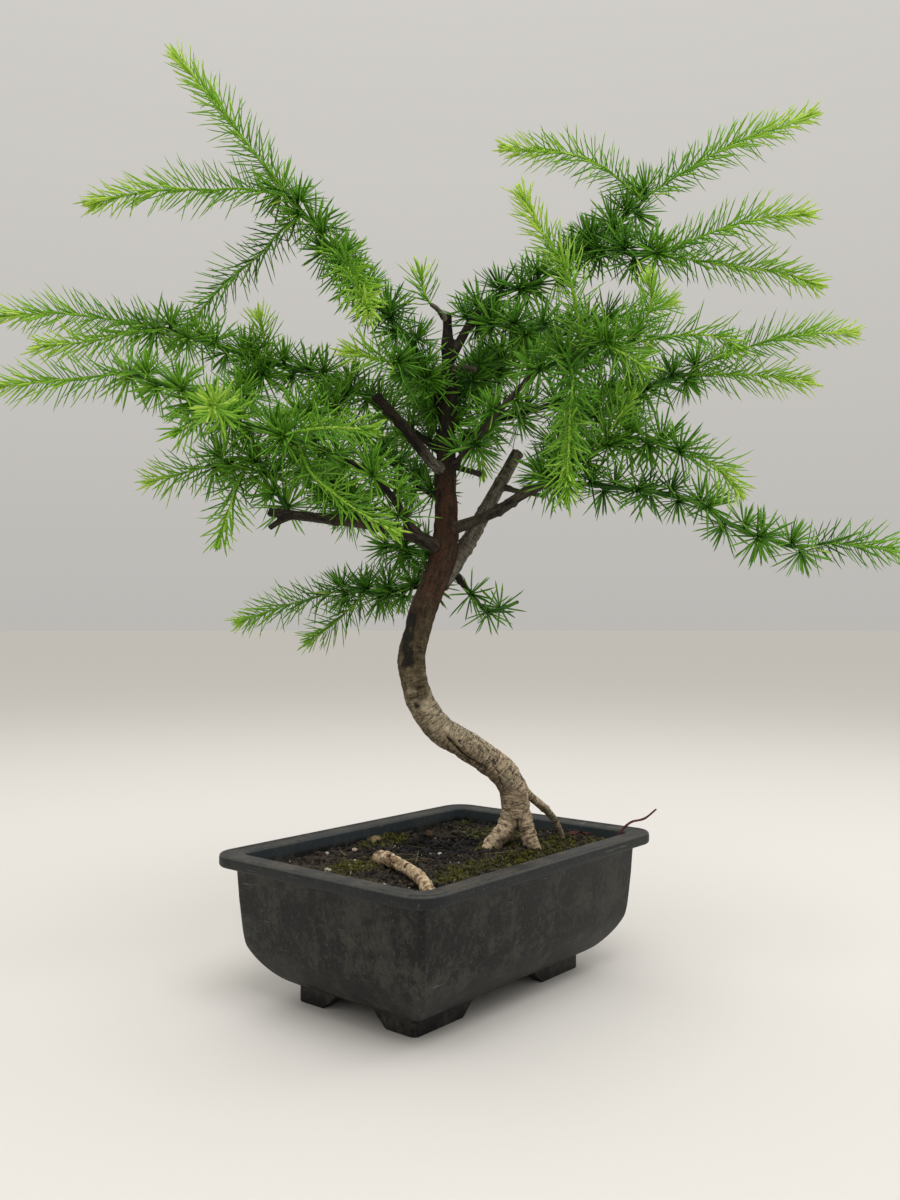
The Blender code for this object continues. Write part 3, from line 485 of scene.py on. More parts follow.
# Soil: it swells round the trunk and sinks to a basin beside it, and its crust is all crumbs
soil = {
    "level": 76.4,
    "mound": (2.6, 34.0),
    "basinDepth": 3.6,
    "basin": ((26.0, 22.0), (44.0, 30.0)),
    # Heaps and hollows: middle x and y, spread and rise in mm
    "heaps": [(97.0, -34.0, 24.0, 4.0), (-3.0, 57.0, 9.0, 3.0), (16.0, 60.0, 9.0, 3.2),
        (42.0, 49.0, 5.0, 2.4), (56.0, 57.0, 13.0, -3.0), (48.0, -5.0, 10.0, 1.6), (27.0, -9.0, 8.0, 3.6),
        (17.0, -44.0, 16.0, 1.6)],
    "roughness": 1.5,
    "lump": 26.0,
    "clod": 9.0,
    "crumbSizes": [(9.0, 2.0), (4.6, 1.3), (2.4, 0.8)],
    "cell": 1.15,
    "edge": 85.0,
    "gap": 0.3,
    "crumbs": 2600,
    "peat": "#14100b",
    "darkPeatAndGapShade": "#070605",
    "dry": "#45392a",
    "grit": "#6b604e",
    "darkened": ((30.0, 24.0), (46.0, 30.0)),  # the darker hollow's middle and half lengths
}
moss = {
    # Patches: middle x and y, half lengths, tufts
    "patches": [(-59.0, 24.0, 23.0, 14.0, 520), (17.0, -43.0, 30.0, 14.0, 900),
        (-37.0, -39.0, 18.0, 10.0, 260), (65.0, -37.0, 22.0, 13.0, 520), (17.0, 60.0, 16.0, 9.0, 360),
        (95.0, 62.0, 10.0, 9.0, 90), (40.0, -10.0, 17.0, 9.0, 620), (-4.0, 57.0, 12.0, 8.0, 180),
        (-15.0, -30.0, 24.0, 11.0, 260), (88.0, -58.0, 14.0, 12.0, 120), (78.0, 20.0, 18.0, 30.0, 160),
        (-85.0, -5.0, 10.0, 30.0, 120)],
    "blades": 6,
    "blade": (0.36, 2.1),  # a blade's foot radius and length
    "lean": 55.0,
    "size": (0.5, 1.15),
    "dark": "#15180a",
    "olive": "#3d3d18",
    "fresh": "#86823a",
    "dead": "#77633a",
}
grit = {
    # Lumps that stand out: place, lengths in mm and tone from dark bark (0) to chalk (1)
    "lumps": [((-2.7, 56.6), (9.0, 6.5, 5.5), 0.42), ((-22.6, 55.2), (5.0, 4.0, 2.6), 0.66),
        ((41.9, 49.2), (6.5, 5.5, 4.5), 0.2), ((-74.6, 25.4), (4.6, 3.6, 3.2), 0.72),
        ((-71.0, 12.0), (3.6, 2.6, 2.2), 0.66), ((96.0, -32.0), (11.0, 5.5, 2.2), 0.0),
        ((99.0, -40.0), (7.0, 4.0, 1.8), 0.02), ((-15.4, 34.0), (9.0, 1.8, 1.5), 0.6),
        ((12.5, 14.5), (2.6, 2.2, 2.0), 0.9), ((-39.4, 62.7), (2.8, 2.4, 2.0), 0.85),
        ((-76.9, -20.9), (3.4, 2.6, 2.2), 0.8)],
    "specks": 620,
    "speckSize": (0.4, 1.7),
    "whiteShare": 0.17,
    "bark": "#43180f",
    "brown": "#4b3a25",
    "tan": "#94805b",
    "chalk": "#cfcbc0",
}
litter = {
    "fibres": 46,
    "fibreLength": (7.0, 26.0),
    "straw": "#8d7d55",
    "strawDark": "#4a3f28",
    "sprout": (88.0, 80.0),
    "sproutLeaves": 9,
    "sproutGreen": "#3f8a2a",
}


def hollow(x, y, area, power):  # 1 in the middle of an oval area, falling off outside it
    (midX, midY), (halfX, halfY) = area
    return bell(math.hypot((x - midX) / halfX, (y - midY) / halfY), 1.0, power=power)


def soilHeight(x, y):
    rise, spread = soil["mound"]
    place = Vector((x, y, 0.0))
    rough = noise.noise(place / soil["lump"]) + 0.5 * noise.noise(place / soil["clod"])
    height = (soil["level"] + rise * bell(math.hypot(x - tree["foot"][0], y - tree["foot"][1]), spread)
              - soil["basinDepth"] * hollow(x, y, soil["basin"], 4) + soil["roughness"] * rough)
    for heapX, heapY, spread, rise in soil["heaps"]:
        height += rise * bell(math.hypot(x - heapX, y - heapY), spread)
    return height


def crustHeight(x, y):
    height = soilHeight(x, y)
    for size, reach in soil["crumbSizes"]:
        height += reach * (0.55 - noise.voronoi(Vector((x / size, y / size, size)))[0][0])
    return height


def mossCover(x, y):  # how mossy the crust is, about 0 to 1
    nearest = max(hollow(x, y, ((midX, midY), (halfX, halfY)), 2)
                  for midX, midY, halfX, halfY, count in moss["patches"] if count > 100)
    return nearest + 0.5 * noise.noise(Vector((x / 6.0, y / 6.0, 3.0)))


# Peat-based potting mix: crumbly and matt, near black where damp and darker in the hollow beside
# the trunk, brown where it has dried, with painted shade in the gaps between the crumbs and pale
# grit and fibres between them
def pottingMix():
    material, shader, add = startMaterial("peatPottingMix")
    place = add("TexCoord", out="Object")
    toneShift, cover = (add("Attribute", out="Fac", attribute_name=name)
                      for name in ("soilDryness", "soilMoss"))
    patches = add("TexNoise", {"Vector": place, "Scale": perSize(18), "Detail": 5, "Roughness": 0.6})
    crumbs = add("TexVoronoi", {"Vector": place, "Scale": perSize(2.6)}, out="Color")
    fibres = add("TexNoise", {"Vector": place, "Scale": perSize(1.6), "Detail": 5, "Roughness": 0.75})
    level = add("Math", (patches, toneShift), operation="ADD")
    base = add("ValToRGB", (level,), [(0.35, soil["darkPeatAndGapShade"]), (0.58, soil["peat"]), (0.9, soil["dry"])])
    light = add("MapRange", (add("SeparateColor", (crumbs,)), 0.6, 1.0, 0, 0.5))
    light = add("Math", (light, level), operation="MULTIPLY")
    # Painted shade: the gaps between the crumbs are darkened
    gapShade = add("MapRange", (crumbs.node.outputs["Distance"], 0.3, 0.75, 0, 0.85))
    pale = add("MapRange", (fibres, 0.62, 0.74, 0, 0.7))
    pale = add("Math", (pale, level), operation="MULTIPLY")
    cover = add("MapRange", (cover, 0.3, 0.6, 0, 0.9))
    carpet = add("ValToRGB", (fibres,),
                 [(0.38, moss["dark"]), (0.52, moss["olive"]), (0.66, moss["fresh"])])
    base = layered(add, base, (light, soil["dry"]), (gapShade, soil["darkPeatAndGapShade"]), (pale, soil["grit"]),
                   (cover, carpet))
    bump = add("Bump", {"Height": fibres, "Strength": 0.9, "Distance": 0.0012})
    return dress(material, shader, base, None, bump, Roughness=0.95)


def makeSoil():
    gap = soil["gap"]
    rimInset, _, rimCorner = pot["rim"][-1]
    levels = [(inset + 1.5 * gap, height + 1.2 * gap, corner)
              for inset, height, corner in reversed(innerProfile())]
    levels.append((rimInset + 1.5 * gap, soil["edge"], rimCorner))
    bm = bmesh.new()
    loft(bm, [potOutline(*level) for level in levels])
    body = shaper(meshFrom(bm, "soilBody"))
    # A block of air is cut from it, and the block's lower side leaves the crust
    length, width = (2 * half for half in soilHalves(-3.0))
    air = bmesh.new()
    bmesh.ops.create_grid(air, x_segments=round(length / soil["cell"]),
                          y_segments=round(width / soil["cell"]), size=0.5)
    bmesh.ops.scale(air, vec=Vector((length, width, 1.0)), verts=list(air.verts))
    rims = [edge for edge in air.edges if edge.is_boundary]
    lifted = bmesh.ops.extrude_edge_only(air, edges=rims)["geom"]
    for vert in air.verts:
        vert.co.z = crustHeight(vert.co.x, vert.co.y)
    for item in lifted:
        if isinstance(item, bmesh.types.BMVert):
            item.co.z = 2 * soil["level"]
    bmesh.ops.holes_fill(air, edges=[edge for edge in air.edges if edge.is_boundary], sides=0)
    bmesh.ops.recalc_face_normals(air, faces=list(air.faces))
    tool = shaper(meshFrom(air, "air"))
    cut(body, tool)
    bm = bmesh.new()
    bm.from_mesh(shaped(body, tool))
    scatterCrumbs(bm)
    mesh = meshFrom(bm, "pottingSoil")
    roundShade(mesh, 60)
    # Darker in the hollow beside the trunk
    addMarks(mesh, "soilDryness", [0.3 - 0.5 * hollow(vert.co.x, vert.co.y, soil["darkened"], 3)
                                   for vert in mesh.vertices])
    addMarks(mesh, "soilMoss", [mossCover(vert.co.x, vert.co.y) for vert in mesh.vertices])
    finishPiece("pottingSoil", mesh, [pottingMix()], "soil", "soil")


def lumpTemplate(name, seed, steps=1):
    bm = bmesh.new()
    bmesh.ops.create_icosphere(bm, subdivisions=steps, radius=0.5)
    for vert in bm.verts:
        vert.co *= 1.0 + 0.5 * noise.noise(vert.co * 2.2 + Vector((seed, 0, 0)))
    return meshFrom(bm, name)


def soilHalves(margin):  # half the soil's length and width inside a margin
    inset = pot["rim"][-1][0] + margin
    return pot["length"] / 2 - inset, pot["width"] / 2 - inset


def soilSpot(rng, margin=3.0):
    halfX, halfY = soilHalves(margin)
    return rng.uniform(-halfX, halfX), rng.uniform(-halfY, halfY)


def tossed(rng, place, size, flat=1.0):
    turn = Matrix.Rotation(rng.uniform(0, math.tau), 4,
                           (rng.gauss(0, 1), rng.gauss(0, 1), rng.gauss(0, 1)))
    scale = Matrix.Diagonal((size * rng.uniform(0.7, 1.3), size * rng.uniform(0.7, 1.3),
                             size * flat, 1.0))
    return Matrix.Translation(place) @ turn @ scale


def addCopy(bm, mesh, matrix):
    copy = mesh.copy()
    copy.transform(matrix)
    bm.from_mesh(copy)
    bpy.data.meshes.remove(copy)


def scatterCrumbs(bm):
    rng = random.Random(41)
    lumps = [lumpTemplate("crumb", seed) for seed in range(5)]
    for i in range(soil["crumbs"]):
        x, y = soilSpot(rng)
        size = rng.uniform(1.2, 4.2) * rng.random() ** 0.7 + 0.5
        addCopy(bm, rng.choice(lumps), tossed(rng, (x, y, crustHeight(x, y) + 0.2 * size), size, 0.8))


def onSoil(x, y, margin):
    halfX, halfY = soilHalves(margin)
    return abs(x) < halfX and abs(y) < halfY


# Moss: soft matt cushions of fine blades, olive in the shade, yellow-green where they are fresh
# and straw-coloured where they have dried
def mossGreen():
    material, shader, add = startMaterial("cushionMoss")
    tone = add("Attribute", out="Fac", attribute_name="mossTone")
    base = add("ValToRGB", (tone,), [(0.0, moss["dark"]), (0.4, moss["olive"]), (0.75, moss["fresh"]),
                                     (1.0, moss["dead"])])
    return dress(material, shader, base, Roughness=0.9, Specular_IOR_Level=0.2)


def mossTuft(seed):
    rng = random.Random(seed)
    radius, length = moss["blade"]
    bm = bmesh.new()
    for k in range(moss["blades"]):
        lean = math.radians(rng.uniform(5, moss["lean"]))
        turn = Matrix.Rotation(math.tau * (k + rng.random() * 0.7) / moss["blades"], 4, "Z")
        tall = length * rng.uniform(0.6, 1.1)
        place = turn @ Matrix.Rotation(lean, 4, "Y") @ Matrix.Translation((0, 0, tall / 2 - 0.4))
        bmesh.ops.create_cone(bm, cap_ends=True, segments=3, radius1=radius, radius2=0.0, depth=tall,
            matrix=place)
    return meshFrom(bm, "mossTuft")


def growMoss():
    rng = random.Random(77)
    tufts = [mossTuft(seed) for seed in range(6)]
    bm = bmesh.new()
    tones = []
    for midX, midY, halfX, halfY, count in moss["patches"]:
        freshness = rng.uniform(0.4, 0.65)
        for i in range(count):
            x = rng.gauss(midX, halfX * 0.48)
            y = rng.gauss(midY, halfY * 0.48)
            cushion = noise.noise(Vector((x / 5.0, y / 5.0, 0.0)))
            if not onSoil(x, y, 2.5) or cushion < -0.22:
                continue
            tuft = rng.choice(tufts)
            size = rng.uniform(*moss["size"]) * (1.0 + 0.5 * cushion)
            place = Vector((x, y, crustHeight(x, y) + 0.8 * max(cushion, 0.0)))
            turn = Matrix.Rotation(rng.uniform(0, math.tau), 4, "Z")
            addCopy(bm, tuft, Matrix.Translation(place) @ turn @ Matrix.Scale(size, 4))
            tone = min(1.0, max(0.0, freshness + 0.45 * cushion + rng.gauss(0, 0.13)))
            if rng.random() < 0.12:
                tone = rng.uniform(0.8, 1.0)
            tones += [tone - 0.3 + 0.3 * min(1.0, max(0.0, vert.co.z / moss["blade"][1]))
                for vert in tuft.vertices]
    mesh = meshFrom(bm, "mossCushions")
    addMarks(mesh, "mossTone", tones)
    finishPiece("mossCushions", mesh, [mossGreen()], "soil")


# Grit in the mix: chalky perlite, tan pumice and brown bark chips, all dull and rough
def gritMix():
    material, shader, add = startMaterial("perliteAndBarkGrit")
    place = add("TexCoord", out="Object")
    tone = add("Attribute", out="Fac", attribute_name="gritTone")
    pits = add("TexNoise", {"Vector": place, "Scale": perSize(0.9), "Detail": 4})
    spread = add("MapRange", (pits, 0, 1, -0.14, 0.14))
    mixed = add("Math", (tone, spread), operation="ADD", use_clamp=True)
    base = add("ValToRGB", (mixed,), [(0.0, grit["bark"]), (0.25, grit["brown"]), (0.55, grit["tan"]),
                                      (0.9, grit["chalk"])])
    bump = add("Bump", {"Height": pits, "Strength": 0.6, "Distance": 0.0004})
    return dress(material, shader, base, None, bump, Roughness=0.95)


def scatterGrit():
    rng = random.Random(58)
    coarse = [lumpTemplate("gritLump", seed + 20, 2) for seed in range(4)]
    small = [lumpTemplate("gritSpeck", seed + 40) for seed in range(4)]
    bm = bmesh.new()
    tones = []
    for (x, y), (long, wide, tall), tone in grit["lumps"]:
        turn = Matrix.Rotation(rng.uniform(0, math.tau), 4, "Z")
        place = Matrix.Translation((x, y, crustHeight(x, y) + tall * 0.22))
        shape = rng.choice(coarse)
        addCopy(bm, shape, place @ turn @ Matrix.Diagonal((long, wide, tall, 1.0)))
        tones += [tone] * len(shape.vertices)
    for i in range(grit["specks"]):
        x, y = soilSpot(rng)
        low, high = grit["speckSize"]
        size = low + (high - low) * rng.random() ** 2
        shape = rng.choice(small)
        addCopy(bm, shape, tossed(rng, (x, y, crustHeight(x, y) + 0.2 * size), size, 0.6))
        tone = rng.uniform(0.65, 0.95) if rng.random() < grit["whiteShare"] else rng.uniform(0.1, 0.6)
        tones += [tone] * len(shape.vertices)
    mesh = meshFrom(bm, "soilGrit")
    addMarks(mesh, "gritTone", tones)
    finishPiece("soilGrit", mesh, [gritMix()], "soil")


# Trunk, roots and limbs: one piece of wood. Limbs give points, first and last diameter, the bark's
# age (0 pale and fresh, 1 dark and old, its darkness partly painted shade under the crown) and how
# grey it has weathered.
wood = {
    "trunk": [(0, 0, 20), (-1, 0, 36), (-6, -1, 46), (-16, -3, 56), (-32, -6, 67), (-47, -8, 76),
        (-57, -9, 88), (-63, -9, 103), (-66, -7, 120), (-63, -4, 137), (-57, 0, 156), (-50, 3, 174),
        (-45, 4, 192), (-44, 3, 216), (-44, 1, 242), (-44, 0, 266), (-42, 1, 289), (-43, 2, 312),
        (-43, 2, 343)],
    "trunkWidths": [16.4, 18.8, 18.5, 18.8, 18.5, 17.8, 17.2, 17.2, 17.8, 17.2, 17, 16.6, 14, 12.6, 11.6,
        11, 9.2, 8, 5],
    "limbs": {
        "left_leg": ([(-0.6, 0, 34), (-4.6, -2, 17), (-9.2, -4, 10), (-15, -6, 4.5), (-21, -8, -4)], 13.5,
            9.5, 0.0, 0.0),
        "right_leg": ([(1.2, 0, 34), (6, -2, 17), (8, -3, 9), (10.8, -4, 1), (12.6, -4, -8)], 12.4, 9.5,
            0.0, 0.0),
        "back_root": ([(3, 3, 41), (9, 9, 33), (16, 12, 27), (23, 17, 20), (28, 20, 13), (32, 22, 4),
            (34, 23, -6)], 6.5, 3.6, 0.12, 0.0),
        "left_limb": ([(-47, 3, 190), (-57, -6, 196), (-76, -16, 202), (-94, -26, 205), (-117, -36, 207),
            (-138, -42, 209), (-150, -46, 210)], 9, 5.5, 0.95, 0.12),
        "left_fork": ([(-136, -42, 209), (-143, -46, 205), (-149, -50, 200)], 4.5, 3.6, 1.0, 0.1),
        "front_stub": ([(-44, 1, 240), (-53, -9, 246), (-63, -16, 257), (-75, -22, 271), (-88, -28, 284)],
            7.5, 6, 0.95, 0.75),
        "short_stub": ([(-44, 1, 246), (-33, -9, 241), (-22, -14, 237)], 5, 3.6, 1.0, 0.1),
        "second_leader": ([(-49, 3, 168), (-36, 10, 187), (-25, 15, 205), (-15, 20, 224), (-5, 24, 242),
            (4, 28, 258)], 12, 8, 0.6, 0.8),
        "leader_twig": ([(-9, 22, 234), (4, 17, 230), (21, 10, 226)], 4, 3, 0.9, 0.3),
        "right_limb": ([(-44, 3, 203), (-26, -9, 208), (-10, -17, 215), (3, -24, 223), (17, -30, 229),
            (25, -33, 231)], 8, 5.5, 0.92, 0.15),
        "upper_left_limb": ([(-44, 1, 278), (-52, 0, 290), (-56, -2, 301), (-59, -4, 311)], 6.5, 4.6, 1.0,
            0.0),
        "upper_right_limb": ([(-43, 2, 311), (-34, 4, 328), (-26, 7, 342), (-18, 9, 353)], 6.8, 5, 0.9,
            0.15),
        "top_stub": ([(-43, 2, 337), (-49, -3, 344), (-54, -6, 347)], 4, 3, 0.6, 0.9),
        "right_stub": ([(-43, 2, 303), (-34, -4, 307), (-24, -9, 304)], 4.4, 3.4, 0.9, 0.3),
        "hub_limb": ([(-44, 1, 238), (-29, -12, 255), (-13, -24, 273), (1, -34, 287), (10, -40, 296)], 5,
            3.6, 0.9, 0.2),
        "low_right_limb": ([(-44, 5, 182), (-33, 16, 169), (-25, 24, 159), (-20, 28, 154)], 4.6, 3.6, 1.0,
            0.0),
        "low_left_limb": ([(-50, 3, 173), (-61, 22, 169), (-74, 36, 166)], 5, 3.8, 1.0, 0.0),
        "left_high_limb": ([(-44, 1, 250), (-61, 10, 265), (-74, 16, 274), (-86, 19, 284)], 4.8, 3.6, 1.0,
            0.1),
        "left_mid_limb": ([(-55, -5, 195), (-68, -16, 207), (-77, -27, 221), (-88, -34, 233),
            (-104, -41, 243)], 5.4, 3.8, 1.0, 0.1),
        "right_back_limb": ([(-43, 2, 256), (-15, 20, 275), (12, 30, 286), (42, 34, 294)], 5, 3.8, 1.0,
            0.1),
        "back_left_limb": ([(-45, 3, 221), (-56, 18, 230), (-65, 30, 237)], 4.6, 3.6, 1.0, 0.1),
    },
    "grain": 0.8,  # the skin's cell size in mm
    "flare": (0.2, 5.0),  # a limb swells where it leaves the wood, by this share over this length
    # Height above the trunk's foot, and how old its bark looks there, partly painted crown shade
    "trunkAgesAndShade": [(20.0, 0.02), (60.0, 0.08), (86.0, 0.14), (106.0, 0.44), (150.0, 0.68), (220.0, 0.8),
        (262.0, 1.0)],
    "red": (140.0, 170.0, 222.0, 252.0),  # the trunk is red-brown between these heights
    "greyUntil": {"front_stub": (14.0, 27.0), "second_leader": (70.0, 130.0)},
    "redLimbs": {"left_limb": 14.0, "second_leader": 34.0, "right_limb": 12.0, "upper_left_limb": 6.0},
    "plates": (34.0, 44.0, 66.0, 92.0),  # and its bark is broken in plates between these
    "plateSize": 6.0,
    "crease": [(-42.8, -17, 72.2), (-33.5, -16, 61.4), (-27.2, -14, 57), (-23.3, -13, 47.8),
        (-15.1, -11, 40)],
    "cracks": [[(-14, -12, 58), (-10, -12, 45)], [(-25, -14, 72), (-17, -13, 64)],
        [(-8, -11, 39), (4, -11, 37)], [(-6, -11, 28), (5, -10, 30)], [(-72, -12, 104), (-60, -18, 103)]],
    "knot": (-62, -18, 92),
    "scar": [(-68, -12, 118), (-69, -10, 128), (-69, -9, 140), (-64.5, -8, 152)],
    "tones": [(0.0, "#cbb597"), (0.16, "#b3a68c"), (0.45, "#5f533d"), (0.75, "#392d1c"), (1.0, "#1f180f")],
    "redTone": "#3f2416",
    "weathered": "#6f6b5f",
    "underside": "#5b4a35",
    "darkMarksAndShade": "#12100b",
    # The bark's shade from its cracks to its ridges: partly its own colour, partly painted shade in the
    # cracks and painted highlight on the ridges
    "crackShadeRidgeLight": [(0.4, (0.12, 0.1, 0.08, 1)), (0.465, (0.55, 0.52, 0.49, 1)), (0.52, (1, 1, 1, 1)),
        (0.6, (1.5, 1.5, 1.5, 1))],
    "apart": 700.0,  # how far apart two stems lie in the bark's patterns
}
barkMarks = ("barkAge", "barkGrey", "barkDark", "barkRed", "barkUp")


def flared(stem):
    share, length = wood["flare"]
    return lambda along, angle: 1.0 + share * math.exp(-along / length)


def woodStems():
    stems = {"trunk": makeStem(wood["trunk"], wood["trunkWidths"])}
    for name, (points, first, last, age, grey) in wood["limbs"].items():
        stems[name] = makeStem(points, (first, last))
    return stems


def woodSkin(stems):
    bm = bmesh.new()
    for name, stem in stems.items():
        swell = None if name == "trunk" else flared(stem)
        loft(bm, stemRings(stem, 2.5, 24, swell))
    thing = shaper(meshFrom(bm, "woodSkin"))
    remesh = thing.modifiers.new("skin", "REMESH")
    remesh.mode = "VOXEL"
    remesh.voxel_size = wood["grain"]
    return shaped(thing)


# For each point of the skin: the stem it lies on, how far along, and the way round it
def nearestStem(points, stems):
    places, sides, acrosses, facts = [], [], [], []
    for number, stem in enumerate(stems.values()):
        for (place, forward, side, across), along in zip(stem["frames"], stem["lengths"]):
            places.append(place)
            sides.append(side)
            acrosses.append(across)
            facts.append((number, along, widthAt(stem, along) / 2))
    places, sides, acrosses, facts = (np.array(list(map(tuple, rows)), np.float32)
                                      for rows in (places, sides, acrosses, facts))
    nearest = np.empty(len(points), int)
    square = (places ** 2).sum(1)
    share = 4000  # points at a time
    for start in range(0, len(points), share):
        part = points[start:start + share]
        apart = np.sqrt(np.maximum((part ** 2).sum(1)[:, None] + square - 2 * part @ places.T, 0))
        nearest[start:start + share] = np.argmin(apart - facts[:, 2], axis=1)
    offset = points - places[nearest]
    angle = np.arctan2((offset * acrosses[nearest]).sum(1), (offset * sides[nearest]).sum(1))
    number, along, radius = facts[nearest].T
    number = number.astype(int)
    unrolled = (radius * np.cos(angle), radius * np.sin(angle), along + number * wood["apart"])
    return number, radius, np.stack(unrolled, 1)


# A line across the trunk's front, pressed onto its skin
def pressOn(skin, points):
    away = Matrix.Rotation(tree["turn"], 3, "Z") @ Vector((0.0, 1.0, 0.0))
    places = [treePoint(point) for point in points]
    hits = [skin.ray_cast(place - away * 60.0, away)[0] for place in places]
    return smoothLine([hit or place for hit, place in zip(hits, places)], 1.0)


def lineDistance(point, line):
    return min((point - place).length for place in line)


def ridge(place, across, along, sharp):  # 1 on thin winding lines, 0 elsewhere
    spot = Vector((place.x / across, place.y / across, place.z / along))
    return max(0.0, 1.0 - sharp * abs(noise.noise(spot)))


# Lumps, fine rings across and, on old bark, fissures along
def barkRelief(place, age, size):
    lump = noise.noise(place / 15.0)
    knob = noise.noise(place / 5.0)
    rings = ridge(place, 11.0, 2.2, 7.0) * (1.0 - 0.7 * age)
    fissure = ridge(place, 3.2, 15.0, 8.0) * (0.25 + 0.75 * age)
    return (0.9 * lump + 0.5 * knob) * size - (0.35 * rings + 0.6 * fissure) * min(1.0, size + 0.2)


def plateau(rise, top, fall, end, value):
    return blend(rise, top, value) * (1.0 - blend(fall, end, value))


def makeWood(stems):
    bm = bmesh.new()
    bm.from_mesh(woodSkin(stems))
    for i in range(2):
        bmesh.ops.smooth_vert(bm, verts=list(bm.verts), factor=0.5, use_axis_x=True, use_axis_y=True,
                              use_axis_z=True)
    bm.normal_update()
    points = np.array([vert.co for vert in bm.verts], np.float32)
    number, radius, places = nearestStem(points, stems)
    looks = [(0.0, 0.0)] + [limb[3:] for limb in wood["limbs"].values()]
    skin = BVHTree.FromBMesh(bm)
    crease = pressOn(skin, wood["crease"])
    cracks = [pressOn(skin, line) for line in wood["cracks"]]
    scar = pressOn(skin, wood["scar"])
    knot = pressOn(skin, [wood["knot"]] * 2)[0]
    names = list(stems)
    marks = []
    for vert, place, stem, wide in zip(list(bm.verts), places, number, radius):
        name = names[stem]
        age, grey = looks[stem]
        up = vert.co.z - tree["foot"][2]
        spot = Vector(place)
        reach = float(place[2]) - stem * wood["apart"]
        dark = red = 0.0
        # The trunk darkens upward, with age and partly with painted shade under the crown
        if stem == 0:
            age = float(np.interp(up, *zip(*wood["trunkAgesAndShade"])))
            red = plateau(*wood["red"], up)
        elif name in wood["redLimbs"]:
            limit = wood["redLimbs"][name]
            red = 1.0 - blend(0.5 * limit, limit, reach)
        move = barkRelief(spot, age, min(1.0, float(wide) / 7.0))
        if name in wood["greyUntil"]:
            grey *= 1.0 - blend(*wood["greyUntil"][name], reach)
        if name.endswith("_leg"):
            move += 1.5 * noise.noise(spot / 4.4)
        elif stem:  # scars of old spurs, and a dark end
            scars = max(0.0, 1.0 - noise.voronoi(spot / 7.5)[0][0] / 0.34)
            move += 1.3 * scars * min(1.0, float(wide) / 3.0)
            dark = 0.7 if reach > stems[name]["length"] - 0.4 else 0.0
        if stem == 0 and up < 150.0:
            near = lineDistance(vert.co, crease)
            fromKnot = (vert.co - knot).length
            nearScar = lineDistance(vert.co, scar)
            ragged = max(5.4 + 5.0 * noise.noise(spot / 4.5), 1.0)
            move += (0.7 * bell(near, 1.7, 3.4) - 1.7 * bell(near, 1.3) + 0.9 * bell(fromKnot, 1.3, 3.2)
                     - 0.8 * bell(nearScar, 4.0))
            # Dark marks: the cracks, the knot and the scar are the bark's own colour; the dark line in the
            # sunk crease is partly painted shade
            dark = max([bell(near, 1.0), 0.62 * bell(fromKnot, 3.2),
                        0.78 * bell(nearScar, ragged, power=4)]
                       + [0.9 * bell(lineDistance(vert.co, line), 0.8) for line in cracks])
        if up < 110.0:
            cell = Vector((spot.x, spot.y, spot.z * 0.65)) / wood["plateSize"]
            cells = noise.voronoi(cell + noise.noise_vector(spot / 3.5) * 0.4)[0]
            plates = plateau(*wood["plates"], up) * (stem == 0)
            broken = (0.35 if stem else plates) * blend(-0.2, 0.3, noise.noise(spot / 8.0))
            edge = max(0.0, 1.0 - (cells[1] - cells[0]) / 0.13) * broken
            long = ridge(spot, 5.0, 22.0, 6.0) * plates
            move -= 0.5 * edge + 0.8 * long
            # Dark lines in the sunk plate edges and long fissures: partly the bark's own colour, partly
            # painted shade
            dark = max(dark, 0.75 * edge, 0.7 * long)
        vert.co += vert.normal * move
        marks.append((age, grey, dark, red, vert.normal.z))
    mesh = meshFrom(bm, "larchWood")
    addMarks(mesh, "barkPlace", places * 0.001, "FLOAT_VECTOR")
    for name, values in zip(barkMarks, zip(*marks)):
        addMarks(mesh, name, values)
    mesh.shade_smooth()
    finishPiece("larchWood", mesh, [larchBark()], "bark", "wood")
